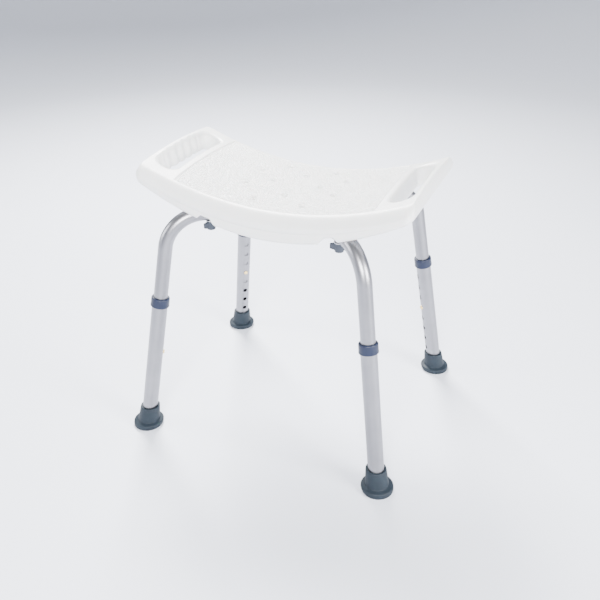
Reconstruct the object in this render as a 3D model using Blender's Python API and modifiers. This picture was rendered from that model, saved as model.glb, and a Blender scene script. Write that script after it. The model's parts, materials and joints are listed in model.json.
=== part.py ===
"""Height-adjustable shower stool: a moulded seat on two crossed aluminium tubes with telescopic legs.

The model stands on z = 0 with its middle on the Z axis. X runs along the seat, and -Y is the front.
Corners are named fl, fr, bl and br: front or back, left or right. All sizes are in metres.
"""

import math

import bmesh
import bpy
import numpy as np
from mathutils import Matrix

GAP = 0.0003  # space kept between two pieces that touch

# Seat
SEAT_LENGTH = 0.488
SEAT_DEPTH = 0.268
SEAT_TOP = 0.4525  # height of the middle of the seat
SEAT_CORNER_R = 0.014
SADDLE_R = 0.568  # the dip along the seat
CROWN_R = 1.050  # the gentle hump across it
RIM_HEIGHT = 0.053  # from the middle of the seat down to the rim's lowest edge
RIM_LIFT_R = 0.413  # the curve of the lower edge along the seat
SHOULDER_FRONT = 0.020  # width of the rolled edge at the front and back
SHOULDER_END = 0.007  # and at the two ends
SHOULDER_DROP = 0.0155
SHOULDER_CORNER_R = 0.008
RIM_ROUND = 0.006
SKIRT_WIDTH = 0.018
PANEL_LENGTH = 0.356
PANEL_DEPTH = 0.224
PANEL_STEP = 0.0008  # the panel lies this far below the rest of the top
PANEL_CORNER_R = 0.012
PANEL_THICKNESS = 0.013
RECESS_LENGTH = 0.356
RECESS_FILLET = 0.005
RECESS_CORNER_R = 0.025

# Handles at the two ends of the seat
BAR_WIDTH = 0.016
SLOT_WIDTH = 0.036
SLOT_LENGTH = 0.172
LIP_DEPTH = 0.009  # the rounded mouth of a slot
LIP_OUTSIDE = 0.0045
LIP_INSIDE = 0.006
LIP_ENDS = 0.009
LOWER_LIP = 0.007  # height of the rounding at the bottom of a slot
SLOT_TAPER = 0.7  # how far the walls draw in at the bottom, as a share of the lip
FINGER_PITCH = 0.024
FINGER_DEPTH = 0.003
FINGERS = 5

# Drain holes: each column's distance from the middle, and its rows
DRAIN_COLUMNS = ((0.0, (0.050,)), (0.0445, (0.0, 0.083)), (0.0815, (0.034,)))
DRAIN_R = 0.0035
DRAIN_DISH_R = 0.008
DRAIN_DISH_DEPTH = 0.005

# Legs
LEG_AZIMUTH = math.radians(40.3)  # of the back right leg, from +X
LEG_SPLAY = math.radians(10.52)
UPPER_TUBE_R = 0.0125
UPPER_TUBE_WALL = 0.0012
LOWER_TUBE_WALL = 0.0012
LOWER_TUBE_R = UPPER_TUBE_R + GAP + LOWER_TUBE_WALL
LOWER_TUBE_START = 0.013  # along the leg, from the floor
LOWER_TUBE_END = 0.272
HOLE_COUNT = 8
HOLE_PITCH = 0.025
FIRST_HOLE = 0.0612
BUTTON_HOLE = 4  # which hole holds the button now, counted from 0 at the bottom
UPPER_TUBE_TAIL = 0.038  # upper tube below its button

# Frame above the legs
LEVEL_DROP = 0.033  # from the middle of the seat's top down to the axis of the level run
BEND_R = 0.066
LEVEL_RUN = 0.17162  # from the middle to where the bend starts
CROSS_FLAT = 0.024  # half length of the flattened middle
CROSS_TAPER = 0.034
CROSS_THICKNESS = 0.0122

# Collar at the top of each lower tube
COLLAR_LENGTH = 0.0176
COLLAR_LIP = 0.0036
COLLAR_WALL = 0.0025
COLLAR_SLACK = 0.0004

# Feet
FOOT_HEIGHT = 0.0415
FOOT_FLANGE_R = 0.0285
FOOT_FLANGE_T = 0.0095  # at its outer edge
FOOT_RING_R = 0.0195  # inner edge of the ring that stands on the floor
FOOT_WALL = 0.0034
FOOT_FLOOR = 0.008
FOOT_WASHER_T = 0.0015

# Snap buttons
BUTTON_R = 0.0042
BUTTON_PROUD = 0.0028
BUTTON_LEDGE = 0.0012  # how far the button's flange reaches past its sides
BUTTON_FLANGE_T = 0.0010
SPRING_WIDTH = 0.008
SPRING_T = 0.0006
SPRING_RISE = 0.038

# Knobs that hold the tubes to the seat
KNOB_OFFSET = 0.1546  # from the middle, along the tube
KNOB_HUB_R = 0.0075
KNOB_HUB_H = 0.0160
KNOB_SPAN = 0.031
KNOB_WING_T = 0.0065
KNOB_WING_H = 0.0110
KNOB_TURNS = {"fl": 72, "fr": 12, "bl": -35, "br": 50}  # degrees
STUD_R = 0.0029
STUD_IN_KNOB = 0.009
STUD_ENGAGED = 0.012
WASHER_R = 0.009
WASHER_T = 0.0014
INSERT_WALL = 0.0014
BOSS_WALL = 0.0074  # plastic round each insert

# Notches in the rim that give fingers room at the knobs
NOTCH_SHIFT = 0.0079  # how much nearer the middle of the seat than the knob
NOTCH_WIDTH = 0.036
NOTCH_TOP_WIDTH = 0.016
NOTCH_DEPTH = 0.009

# Bolt through the crossing
BOLT_R = 0.0029
BOLT_HEAD_R = 0.0065
BOLT_HEAD_H = 0.0040
NUT_WALL = 0.0026  # at the nut's corners
NUT_H = 0.0060

CORNERS = {
    "fl": math.pi + LEG_AZIMUTH,
    "fr": -LEG_AZIMUTH,
    "bl": math.pi - LEG_AZIMUTH,
    "br": LEG_AZIMUTH,
}

# Sizes that follow from those above
FRAME_HEIGHT = SEAT_TOP - LEVEL_DROP
# from the middle to a leg's axis, on the floor
LEG_SPREAD = LEVEL_RUN + (FRAME_HEIGHT - BEND_R) * math.tan(LEG_SPLAY) + BEND_R / math.cos(LEG_SPLAY)
LEVEL_TOP = FRAME_HEIGHT + UPPER_TUBE_R
LEVEL_BOTTOM = FRAME_HEIGHT - UPPER_TUBE_R
BUTTON_AT = FIRST_HOLE + BUTTON_HOLE * HOLE_PITCH
BORE_R = UPPER_TUBE_R - UPPER_TUBE_WALL
HOLE_R = BUTTON_R + GAP
BUTTON_FLANGE_R = BUTTON_R + BUTTON_LEDGE
STUD_HOLE_R = STUD_R + 2 * GAP
NOTCH_X = KNOB_OFFSET * math.cos(LEG_AZIMUTH) - NOTCH_SHIFT
SLOT_X = SEAT_LENGTH / 2 - BAR_WIDTH - SLOT_WIDTH / 2
SKIRT_Y = SEAT_DEPTH / 2 - SKIRT_WIDTH
INSERT_BORE_R = STUD_R + GAP
NUT_R = BOLT_R + GAP + NUT_WALL
INSERT_R = INSERT_BORE_R + INSERT_WALL
BOSS_R = INSERT_R + BOSS_WALL
INSERT_BOTTOM = LEVEL_TOP + 2 * GAP
STUD_TOP = INSERT_BOTTOM + STUD_ENGAGED
WASHER_TOP = LEVEL_BOTTOM - GAP
KNOB_TOP = WASHER_TOP - WASHER_T - GAP

STEEL = ((0.72, 0.72, 0.74), 0.25, 1.0)
BRASS = ((0.80, 0.60, 0.25), 0.28, 1.0)
ALUMINIUM = ((0.78, 0.79, 0.81), 0.34, 1.0)
WHITE_PLASTIC = ((0.88, 0.88, 0.86), 0.48, 0.0)
COLLAR_PLASTIC = ((0.15, 0.17, 0.26), 0.45, 0.0)
KNOB_PLASTIC = ((0.12, 0.13, 0.16), 0.50, 0.0)
RUBBER = ((0.11, 0.16, 0.20), 0.70, 0.0)


# Scene helpers


def clear_scene():
    for item in list(bpy.data.objects):
        bpy.data.objects.remove(item)


def new_collection(name):
    group = bpy.data.collections.new(name)
    bpy.context.scene.collection.children.link(group)
    return group


def material(name, finish):
    colour, roughness, metallic = finish
    made = bpy.data.materials.new(name)
    made.use_nodes = True
    shader = made.node_tree.nodes["Principled BSDF"]
    shader.inputs["Base Color"].default_value = (*colour, 1.0)
    shader.inputs["Roughness"].default_value = roughness
    shader.inputs["Metallic"].default_value = metallic
    return made


def part(name, mesh, finish, parent=None, location=(0, 0, 0), rotation=(0, 0, 0)):
    """A sub-part in the stool's collection, with a material of its own."""
    item = bpy.data.objects.new(name, mesh.copy())
    item.data.name = name
    item.data.materials.clear()
    item.data.materials.append(material(name, finish))
    item.parent = parent
    item.location = location
    item.rotation_euler = rotation
    stool.objects.link(item)
    return item


def empty(name, parent=None, location=(0, 0, 0), rotation=(0, 0, 0)):
    item = bpy.data.objects.new(name, None)
    item.empty_display_size = 0.02
    item.parent = parent
    item.location = location
    item.rotation_euler = rotation
    stool.objects.link(item)
    return item


def scratch(mesh):
    """A working object in the cutters' collection."""
    item = bpy.data.objects.new("work", mesh)
    item.hide_render = True
    item.display_type = "WIRE"
    cutters.objects.link(item)
    return item


def baked(item):
    """The object's mesh with its modifiers applied. The object is removed."""
    bpy.context.view_layer.update()
    graph = bpy.context.evaluated_depsgraph_get()
    mesh = bpy.data.meshes.new_from_object(item.evaluated_get(graph))
    mesh.transform(item.matrix_world)
    bpy.data.objects.remove(item)
    return mesh


def combined(mesh, others, operation):
    """The mesh after a Boolean with each of the other meshes in turn."""
    item = scratch(mesh)
    tools = [scratch(other) for other in others]
    for tool in tools:
        step = item.modifiers.new("step", "BOOLEAN")
        step.operation = operation
        step.object = tool
    result = baked(item)
    for tool in tools:
        bpy.data.objects.remove(tool)
    return result


def smooth(mesh, degrees=35):
    mesh.shade_smooth()
    mesh.set_sharp_from_angle(angle=math.radians(degrees))
    return mesh


# Shape helpers


def turned(profile, steps, ring=False):
    """A solid turned about Z. The profile is (radius, height), down the outer side. A ring's is closed."""
    points = [(r, 0.0, z) for r, z in profile]
    edges = [(i, i + 1) for i in range(len(points) - 1)]
    if ring:
        edges.append((len(points) - 1, 0))
    mesh = bpy.data.meshes.new("turned")
    mesh.from_pydata(points, edges, [])
    item = scratch(mesh)
    screw = item.modifiers.new("turn", "SCREW")
    screw.axis = "Z"
    screw.angle = math.tau
    screw.steps = steps
    screw.render_steps = steps
    screw.use_merge_vertices = True
    screw.merge_threshold = 0.00001
    return smooth(baked(item))


def closed_mesh(points, faces):
    """A mesh whose normals all point out."""
    mesh = bpy.data.meshes.new("made")
    mesh.from_pydata([tuple(p) for p in points], [], faces)
    shape = bmesh.new()
    shape.from_mesh(mesh)
    bmesh.ops.recalc_face_normals(shape, faces=shape.faces)
    shape.to_mesh(mesh)
    shape.free()
    return mesh


def side_faces(rings, count, wrap):
    """The quads between neighbouring rings of count points, and from the last ring to the first if wrap."""
    faces = []
    for r in range(rings if wrap else rings - 1):
        a, b = r * count, (r + 1) % rings * count
        for i in range(count):
            j = (i + 1) % count
            faces.append((a + i, a + j, b + j, b + i))
    return faces


def loft(rings):
    """A closed solid through rings. Its two ends are closed by strips from point i to point count - i."""
    count = len(rings[0])
    faces = side_faces(len(rings), count, wrap=False)
    for start in (0, (len(rings) - 1) * count):
        for i in range(count // 2):
            corners = [i, i + 1, count - i - 1, (count - i) % count]
            face = list(dict.fromkeys(start + k for k in corners))
            if len(face) > 2:
                faces.append(face)
    return closed_mesh(np.concatenate(rings), faces)


def cylinder(radius, low, high, steps=12):
    """A solid cylinder along Z."""
    shape = bmesh.new()
    place = Matrix.Translation((0, 0, (low + high) / 2))
    bmesh.ops.create_cone(
        shape, cap_ends=True, segments=steps, radius1=radius, radius2=radius, depth=high - low, matrix=place
    )
    mesh = bpy.data.meshes.new("cylinder")
    shape.to_mesh(mesh)
    shape.free()
    return mesh


def moved(mesh, matrix):
    """A copy of the mesh in another place."""
    other = mesh.copy()
    other.transform(matrix)
    return other


def outline(half_x, half_y, radius, long=12, short=6, corner=4):
    """A rounded rectangle, anticlockwise from (half_x, 0), as rows of x and y."""
    radius = min(radius, half_x, half_y)
    x, y = half_x - radius, half_y - radius
    side = [(half_x, t * y) for t in np.linspace(0, 1, short // 2 + 1)]
    turn = np.linspace(0, math.pi / 2, corner + 1)[1:]
    side += [(x + radius * math.cos(t), y + radius * math.sin(t)) for t in turn]
    side += [(t * x, half_y) for t in np.linspace(1, 0, long // 2 + 1)[1:]]
    quarter = np.array(side)
    left = quarter[-2::-1] * (-1, 1)
    upper = np.concatenate([quarter, left])
    return np.concatenate([upper, upper[-2:0:-1] * (1, -1)])


# Seat


def seat_top(x, y):
    """Height of the seat's top: low in the middle of its length, and a little high in the middle of its depth."""
    return SEAT_TOP + x**2 / (2 * SADDLE_R) - y**2 / (2 * CROWN_R)


def rim_bottom(x):
    return SEAT_TOP - RIM_HEIGHT + x**2 / (2 * RIM_LIFT_R)


def seat_ring(half_x, half_y, height, radius):
    """A ring of points on a rounded rectangle, with height a function of x and y."""
    flat = outline(half_x, half_y, radius)
    return np.column_stack([flat, height(flat[:, 0], flat[:, 1])])


def shoulder_ring(share, height):
    """A ring on the rolled edge. share is 1 where the edge starts to roll and 0 at the upright side."""
    radius = SEAT_CORNER_R + (SHOULDER_CORNER_R - SEAT_CORNER_R) * share
    half_x, half_y = SEAT_LENGTH / 2 - SHOULDER_END * share, SEAT_DEPTH / 2 - SHOULDER_FRONT * share
    return seat_ring(half_x, half_y, height, radius)


def inset_ring(inset, height):
    return seat_ring(SEAT_LENGTH / 2 - inset, SEAT_DEPTH / 2 - inset, height, SEAT_CORNER_R)


def seat_rings():
    """Rings from the middle of the top, over the rim and under it, to the middle of the underside."""
    panel_x, panel_y = PANEL_LENGTH / 2, PANEL_DEPTH / 2
    recess_x, recess_y = RECESS_LENGTH / 2, SKIRT_Y

    def top_less(drop):
        return lambda x, y: seat_top(x, y) - drop

    def rim_plus(rise):
        return lambda x, y: rim_bottom(x) + rise

    shrinks = ((0.30, 0.04), (0.55, 0.36), (0.78, 0.70), (1.0, 1.0))
    rings = [
        seat_ring(share_x * panel_x, share_y * panel_y, top_less(PANEL_STEP), PANEL_CORNER_R)
        for share_x, share_y in shrinks
    ]
    rings.append(seat_ring(panel_x + PANEL_STEP, panel_y + PANEL_STEP, top_less(0), PANEL_CORNER_R))
    for share in (1.0, 0.7, 0.4, 0.1):
        rings.append(shoulder_ring(share, top_less(0.93 * SHOULDER_DROP * (1 - share) ** 2)))
    rings.append(shoulder_ring(0, top_less(SHOULDER_DROP)))
    for turn in np.linspace(0, math.pi / 2, 4):
        inset = RIM_ROUND * (1 - math.cos(turn))
        rings.append(inset_ring(inset, rim_plus(RIM_ROUND * (1 - math.sin(turn)))))
    rings.append(seat_ring(recess_x, recess_y, rim_plus(0), RECESS_CORNER_R))
    shy = RECESS_FILLET
    for inset, drop in ((shy / 4, shy), (shy, 0)):
        height = top_less(PANEL_THICKNESS + drop)
        rings.append(seat_ring(recess_x - inset, recess_y - inset, height, RECESS_CORNER_R))
    under = top_less(PANEL_THICKNESS)
    rings.append(seat_ring(0.70 * recess_x, 0.60 * recess_y, under, RECESS_CORNER_R))
    rings.append(seat_ring(0.35 * recess_x, 0.04 * recess_y, under, RECESS_CORNER_R))
    return rings


def drain_places():
    """Every drain hole, mirrored both ways."""
    places = set()
    for x, rows in DRAIN_COLUMNS:
        for y in rows:
            places |= {(sx * x, sy * y) for sx in (-1, 1) for sy in (-1, 1)}
    return sorted((x + 0.0, y + 0.0) for x, y in places)


def drain_cutter(x, y):
    """A dished hole right through the panel."""
    above, below = 0.003, PANEL_THICKNESS + 0.006
    flare = (DRAIN_DISH_R - DRAIN_R) / DRAIN_DISH_DEPTH
    profile = [
        (0.0, above),
        (DRAIN_DISH_R + flare * above, above),
        (DRAIN_R, -DRAIN_DISH_DEPTH),
        (DRAIN_R, -below),
        (0.0, -below),
    ]
    return moved(turned(profile, 12), Matrix.Translation((x, y, seat_top(x, y))))


def slot_cutter(side):
    """A handle slot, with a rounded lip at its mouth and finger grooves in its outer wall. side is -1 or 1."""
    def ring(lip, height):
        half_x = SLOT_WIDTH / 2 + lip * (LIP_INSIDE + LIP_OUTSIDE) / 2
        half_y = SLOT_LENGTH / 2 + lip * LIP_ENDS
        # the rectangle is laid out along Y, so its long sides take the grooves
        flat = outline(half_y, half_x, half_x * 0.9, long=30, short=2, corner=4)
        x, y = flat[:, 1], -flat[:, 0]
        grip = np.clip((FINGERS * FINGER_PITCH / 2 - abs(y)) / FINGER_PITCH, 0, 1)
        wave = 0.5 - 0.5 * np.cos(math.tau * (y / FINGER_PITCH + 0.5 * (FINGERS + 1)))
        x = np.where(x > half_x * 0.99, x + FINGER_DEPTH * wave * np.minimum(1, 4 * grip), x)
        x = side * (SLOT_X + x - lip * (LIP_INSIDE - LIP_OUTSIDE) / 2)
        return np.column_stack([x, y, height(x, y)])

    below = rim_bottom(SLOT_X - SLOT_WIDTH) - 0.005
    return loft([
        ring(1.0, lambda x, y: 0 * x + below),
        ring(1.0, lambda x, y: rim_bottom(x) + 0.0006),
        ring(0.0, lambda x, y: rim_bottom(x) + 0.25 * LOWER_LIP),
        ring(-SLOT_TAPER, lambda x, y: rim_bottom(x) + LOWER_LIP),
        ring(0.0, lambda x, y: seat_top(x, y) - LIP_DEPTH),
        ring(0.3, lambda x, y: seat_top(x, y) - 0.3 * LIP_DEPTH),
        ring(1.0, lambda x, y: seat_top(x, y) + 0.0002),
        ring(1.0, lambda x, y: seat_top(x, y) + 0.012),
    ])


def notch_cutter(side_x, side_y):
    """A notch in the rim's lower edge, beside a knob."""
    low, high = rim_bottom(NOTCH_X) - 0.012, rim_bottom(NOTCH_X) + NOTCH_DEPTH
    out_y, in_y = SEAT_DEPTH / 2 + 0.01, SKIRT_Y - 0.004
    slope = (NOTCH_WIDTH - NOTCH_TOP_WIDTH) / 2 / NOTCH_DEPTH
    foot = NOTCH_WIDTH / 2 + slope * (rim_bottom(NOTCH_X) - low)
    points = []
    for y in (out_y, in_y):
        for x, z in ((-foot, low), (foot, low), (NOTCH_TOP_WIDTH / 2, high), (-NOTCH_TOP_WIDTH / 2, high)):
            points.append((side_x * (NOTCH_X + x), side_y * y, z))
    faces = [(0, 1, 2, 3), (4, 5, 6, 7)] + side_faces(2, 4, wrap=False)
    return closed_mesh(points, faces)


def knob_place(corner):
    angle = CORNERS[corner]
    return KNOB_OFFSET * math.cos(angle), KNOB_OFFSET * math.sin(angle)


def seat_mesh():
    """The seat: its moulded body with bosses, then the holes in it."""
    bosses, cuts = [], []
    for corner in CORNERS:
        x, y = knob_place(corner)
        place = Matrix.Translation((x, y, 0))
        boss_high = seat_top(x, y) - PANEL_THICKNESS / 2
        bosses.append(moved(cylinder(BOSS_R, LEVEL_TOP + GAP, boss_high, 16), place))
        cuts.append(moved(cylinder(INSERT_R + GAP, LEVEL_TOP - GAP, STUD_TOP + 0.004), place))
    cuts += [frame_clearance("upper"), frame_clearance("lower")]
    cuts += [notch_cutter(sx, sy) for sx in (-1, 1) for sy in (-1, 1)]
    cuts += [slot_cutter(-1), slot_cutter(1)]
    cuts += [drain_cutter(x, y) for x, y in drain_places()]
    body = combined(loft(seat_rings()), bosses, "UNION")
    return smooth(combined(body, cuts, "DIFFERENCE"), 40)


# Frame tubes


def frame_path(start, to_middle=True):
    """Half of a tube's centre line: (distance from the middle, height, turn) from the leg up to the crossing.

    start is where it begins, along the leg. turn is the angle of the tube's upper side from the horizontal.
    """
    centre_z = FRAME_HEIGHT - BEND_R
    centre_out = LEG_SPREAD - centre_z * math.tan(LEG_SPLAY) - BEND_R / math.cos(LEG_SPLAY)
    low_z = start * math.cos(LEG_SPLAY)
    path = [(LEG_SPREAD - low_z * math.tan(LEG_SPLAY), low_z, LEG_SPLAY)]
    for turn in np.linspace(LEG_SPLAY, math.pi / 2, 8):
        out = centre_out + BEND_R * math.cos(turn)
        path.append((out, centre_z + BEND_R * math.sin(turn), turn))
    if to_middle:
        for share in (0.0, 1 / 3, 2 / 3, 1.0):
            path.append((CROSS_FLAT + CROSS_TAPER * (1 - share), FRAME_HEIGHT, math.pi / 2))
    return path


def tube_ring(out, height, turn, radius, flat, shift, steps=16):
    """A ring round the centre line. flat is 0 where the tube is round and 1 where it is fully flattened."""
    full = CROSS_THICKNESS / 2 - (UPPER_TUBE_R - radius)
    wide = radius + (UPPER_TUBE_R - CROSS_THICKNESS / 2) * (math.pi / 2 - 1)
    half_t = radius + (full - radius) * flat
    half_w = radius + (wide - radius) * flat
    angle = (np.arange(steps) + 0.5) * math.tau / steps
    across = (half_w - half_t) * np.sign(np.cos(angle)) + half_t * np.cos(angle)
    upward = half_t * np.sin(angle) + shift * (UPPER_TUBE_R - CROSS_THICKNESS / 2) * flat
    along = out + upward * math.cos(turn)
    return np.column_stack([along, across, height + upward * math.sin(turn)])


def tube_rings(radius, shift):
    """Rings of one wall surface, from one leg to the other. shift is 1 or -1: which side the crossing keeps."""
    rings = []
    path = frame_path(BUTTON_AT - UPPER_TUBE_TAIL)
    for out, height, turn in path:
        share = np.clip((CROSS_FLAT + CROSS_TAPER - out) / CROSS_TAPER, 0, 1)
        flat = share * share * (3 - 2 * share)
        rings.append(tube_ring(out, height, turn, radius, flat, shift))
    mirrored = [ring * (-1, 1, 1) for ring in reversed(rings)]
    return rings + mirrored


def button_cutter():
    """The hole for a snap button, in the leg's own axes."""
    hole = moved(cylinder(HOLE_R, 0.006, 0.020), Matrix.Rotation(math.pi / 2, 4, "Y"))
    return moved(hole, Matrix.Translation((0, 0, BUTTON_AT)))


def frame_tube_mesh(shift):
    """A bent tube in the XZ plane, open at both ends, with holes for studs, the centre bolt and two buttons."""
    outer = tube_rings(UPPER_TUBE_R, shift)
    inner = tube_rings(BORE_R, shift)
    rings = outer + inner[::-1]
    mesh = closed_mesh(np.concatenate(rings), side_faces(len(rings), len(rings[0]), wrap=True))
    low, high = LEVEL_BOTTOM - 0.005, LEVEL_TOP + 0.005
    cuts = [cylinder(STUD_HOLE_R, low, high)]
    for side in (-1, 1):
        stud = cylinder(STUD_HOLE_R, low, high)
        cuts.append(moved(stud, Matrix.Translation((side * KNOB_OFFSET, 0, 0))))
        turn = 0 if side < 0 else math.pi
        leg = Matrix.Rotation(turn, 4, "Z") @ Matrix.Translation((-LEG_SPREAD, 0, 0))
        cuts.append(moved(button_cutter(), leg @ Matrix.Rotation(LEG_SPLAY, 4, "Y")))
    return smooth(combined(mesh, cuts, "DIFFERENCE"))


def frame_clearance(which):
    """The room that a tube needs in the seat, as a solid rod along its bends and level run."""
    radius = (UPPER_TUBE_R + 2 * GAP) / math.cos(math.pi / 16)
    rings = [
        tube_ring(out, height, turn, radius, 0.0, 0.0)
        for out, height, turn in frame_path(LOWER_TUBE_END)
    ]
    rings += [ring * (-1, 1, 1) for ring in reversed(rings)]
    rod = loft([np.roll(ring, 4, axis=0) for ring in rings])
    turn = LEG_AZIMUTH if which == "upper" else -LEG_AZIMUTH
    return moved(rod, Matrix.Rotation(turn, 4, "Z"))


# Pieces on each leg, in the leg's own axes: Z up the leg and X towards the middle of the stool


def lower_tube_mesh():
    inner = LOWER_TUBE_R - LOWER_TUBE_WALL
    profile = [
        (inner, LOWER_TUBE_END),
        (LOWER_TUBE_R, LOWER_TUBE_END),
        (LOWER_TUBE_R, LOWER_TUBE_START),
        (inner, LOWER_TUBE_START),
    ]
    tube = turned(profile, 20, ring=True)
    hole = moved(cylinder(HOLE_R, 0.006, 0.020), Matrix.Rotation(math.pi / 2, 4, "Y"))
    heights = [FIRST_HOLE + k * HOLE_PITCH for k in range(HOLE_COUNT)]
    holes = [moved(hole, Matrix.Translation((0, 0, height))) for height in heights]
    return smooth(combined(tube, holes, "DIFFERENCE"))


def collar_mesh():
    """A sleeve over the lower tube's end, with a lip that guides the upper tube."""
    top = LOWER_TUBE_END + GAP + COLLAR_LIP
    low = top - COLLAR_LENGTH
    guide = (UPPER_TUBE_R + COLLAR_SLACK) / math.cos(math.pi / 20)
    sleeve = (LOWER_TUBE_R + GAP / 2) / math.cos(math.pi / 20)
    outer = sleeve + COLLAR_WALL
    profile = [
        (guide, top),
        (outer - 0.0020, top),
        (outer - 0.0006, top - 0.0008),
        (outer - 0.0001, top - 0.0022),
        (outer + 0.0003, low + 0.0012),
        (outer - 0.0003, low),
        (sleeve, low),
        (sleeve, LOWER_TUBE_END + GAP),
        (guide, LOWER_TUBE_END + GAP),
    ]
    return turned(profile, 20, ring=True)


def button_mesh():
    """A round button with a domed end, turned about Z with its head up. Its height is from the leg's axis."""
    tip = LOWER_TUBE_R + BUTTON_PROUD
    flange_top = math.sqrt(BORE_R**2 - BUTTON_FLANGE_R**2) - 4 * GAP
    dome = 0.0022
    turns = np.linspace(0, math.pi / 2, 5)[1:]
    profile = [(0.0, tip)]
    profile += [(BUTTON_R * math.sin(t), tip - dome * (1 - math.cos(t))) for t in turns]
    profile += [
        (BUTTON_R, flange_top),
        (BUTTON_FLANGE_R, flange_top),
        (BUTTON_FLANGE_R, flange_top - BUTTON_FLANGE_T),
        (0.0, flange_top - BUTTON_FLANGE_T),
    ]
    return turned(profile, 14), flange_top - BUTTON_FLANGE_T


def spring_mesh(button_back):
    """A V of spring strip: one arm behind the button, the other against the far wall of the tube."""
    front = button_back - GAP - SPRING_T / 2
    back = -(math.sqrt(BORE_R**2 - (SPRING_WIDTH / 2) ** 2) - 2 * GAP - SPRING_T / 2)
    arm = SPRING_RISE / 4
    bend_r = 0.0025
    path = [(front, -arm), (front, arm)]
    middle = (front + back) / 2
    for turn in np.linspace(0, math.pi, 5):
        path.append((middle + bend_r * math.cos(turn), SPRING_RISE - bend_r + bend_r * math.sin(turn)))
    path += [(back, arm), (back, -1.4 * arm)]
    half = SPRING_WIDTH / 2
    points = [(x, y, z) for x, z in path for y in (-half, half)]
    faces = [(2 * i, 2 * i + 1, 2 * i + 3, 2 * i + 2) for i in range(len(path) - 1)]
    mesh = bpy.data.meshes.new("spring")
    mesh.from_pydata(points, [], faces)
    item = scratch(mesh)
    thicken = item.modifiers.new("thicken", "SOLIDIFY")
    thicken.thickness = SPRING_T
    thicken.offset = 0.0
    return baked(item)


# Pieces at each corner, with Z straight up and X towards the middle of the stool


def foot_mesh():
    """A rubber foot, turned about Z and then leant with its leg."""
    bore = (LOWER_TUBE_R + GAP) / math.cos(LEG_SPLAY) / math.cos(math.pi / 20)
    rim = bore + FOOT_WALL
    neck = rim + 0.0026
    profile = [
        (0.0, FOOT_FLOOR),
        (bore, FOOT_FLOOR),
        (bore, FOOT_HEIGHT),
        (rim - 0.0009, FOOT_HEIGHT),
        (rim, FOOT_HEIGHT - 0.0010),
        (neck, FOOT_FLANGE_T + 0.0040),
        (neck + 0.0010, FOOT_FLANGE_T + 0.0022),
        (FOOT_FLANGE_R - 0.0030, FOOT_FLANGE_T + 0.0008),
        (FOOT_FLANGE_R - 0.0008, FOOT_FLANGE_T - 0.0006),
        (FOOT_FLANGE_R, FOOT_FLANGE_T - 0.0030),
        (FOOT_FLANGE_R - 0.0012, 0.0),
        (FOOT_RING_R, 0.0),
        (FOOT_RING_R - 0.002, 0.0022),
        (0.0, 0.0022),
    ]
    mesh = turned(profile, 20)
    for point in mesh.vertices:
        point.co.x += point.co.z * math.tan(LEG_SPLAY)
    return mesh


def ring_mesh(inner, outer, low, high, steps=16):
    profile = [(inner, high), (outer, high), (outer, low), (inner, low)]
    return turned(profile, steps, ring=True)


def knob_mesh():
    """A hub with two wings, and a blind hole for its stud. Its top is at z = 0."""
    edge = 0.0015
    hub = turned(
        [
            (0.0, 0.0),
            (KNOB_HUB_R - edge, 0.0),
            (KNOB_HUB_R, -edge),
            (KNOB_HUB_R, edge - KNOB_HUB_H),
            (KNOB_HUB_R - edge, -KNOB_HUB_H),
            (0.0, -KNOB_HUB_H),
        ],
        16,
    )
    bar = bmesh.new()
    bmesh.ops.create_cube(bar, size=1.0)
    wing_z = -0.002 - KNOB_WING_H / 2
    bar.transform(Matrix.Translation((0, 0, wing_z)) @ Matrix.Diagonal((KNOB_SPAN, KNOB_WING_T, KNOB_WING_H, 1)))
    mesh = bpy.data.meshes.new("wings")
    bar.to_mesh(mesh)
    bar.free()
    item = scratch(mesh)
    round_off = item.modifiers.new("round", "BEVEL")
    round_off.width = 0.002
    round_off.segments = 2
    wings = baked(item)
    whole = combined(hub, [wings], "UNION")
    hole = cylinder(STUD_R + GAP, -STUD_IN_KNOB - GAP, 0.003)
    return smooth(combined(whole, [hole], "DIFFERENCE"))


def stud_mesh():
    """The threaded stud, from inside its knob up into the seat. Its heights are from the knob's top."""
    tip = STUD_TOP - KNOB_TOP
    chamfer = 0.0008
    profile = [
        (0.0, tip),
        (STUD_R - chamfer, tip),
        (STUD_R, tip - chamfer),
        (STUD_R, -STUD_IN_KNOB),
        (0.0, -STUD_IN_KNOB),
    ]
    return turned(profile, 12)


# Assembly


def build_frame():
    for name, shift, angle in (("upper", 1, LEG_AZIMUTH), ("lower", -1, -LEG_AZIMUTH)):
        mesh = frame_tube_mesh(shift)
        part(f"frame_tube_{name}", mesh, ALUMINIUM, rotation=(0, 0, angle))


def build_crossing():
    """The bolt, washer and nut that hold the two tubes together in the middle."""
    head = LEVEL_TOP + GAP
    washer_top = LEVEL_BOTTOM - GAP
    nut_top = washer_top - WASHER_T - GAP
    bolt = turned(
        [
            (0.0, head + BOLT_HEAD_H),
            (BOLT_HEAD_R * 0.6, head + BOLT_HEAD_H * 0.92),
            (BOLT_HEAD_R * 0.92, head + BOLT_HEAD_H * 0.55),
            (BOLT_HEAD_R, head),
            (BOLT_R, head),
            (BOLT_R, nut_top - NUT_H - 0.0015),
            (0.0, nut_top - NUT_H - 0.0015),
        ],
        16,
    )
    part("centre_bolt", bolt, STEEL)
    part("centre_washer", ring_mesh(STUD_HOLE_R, WASHER_R, washer_top - WASHER_T, washer_top), STEEL)
    hexagon = cylinder(NUT_R, nut_top - NUT_H, nut_top, 6)
    bore = cylinder(BOLT_R + GAP, nut_top - NUT_H - 0.002, nut_top + 0.002)
    part("centre_nut", combined(hexagon, [bore], "DIFFERENCE"), STEEL)


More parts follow.
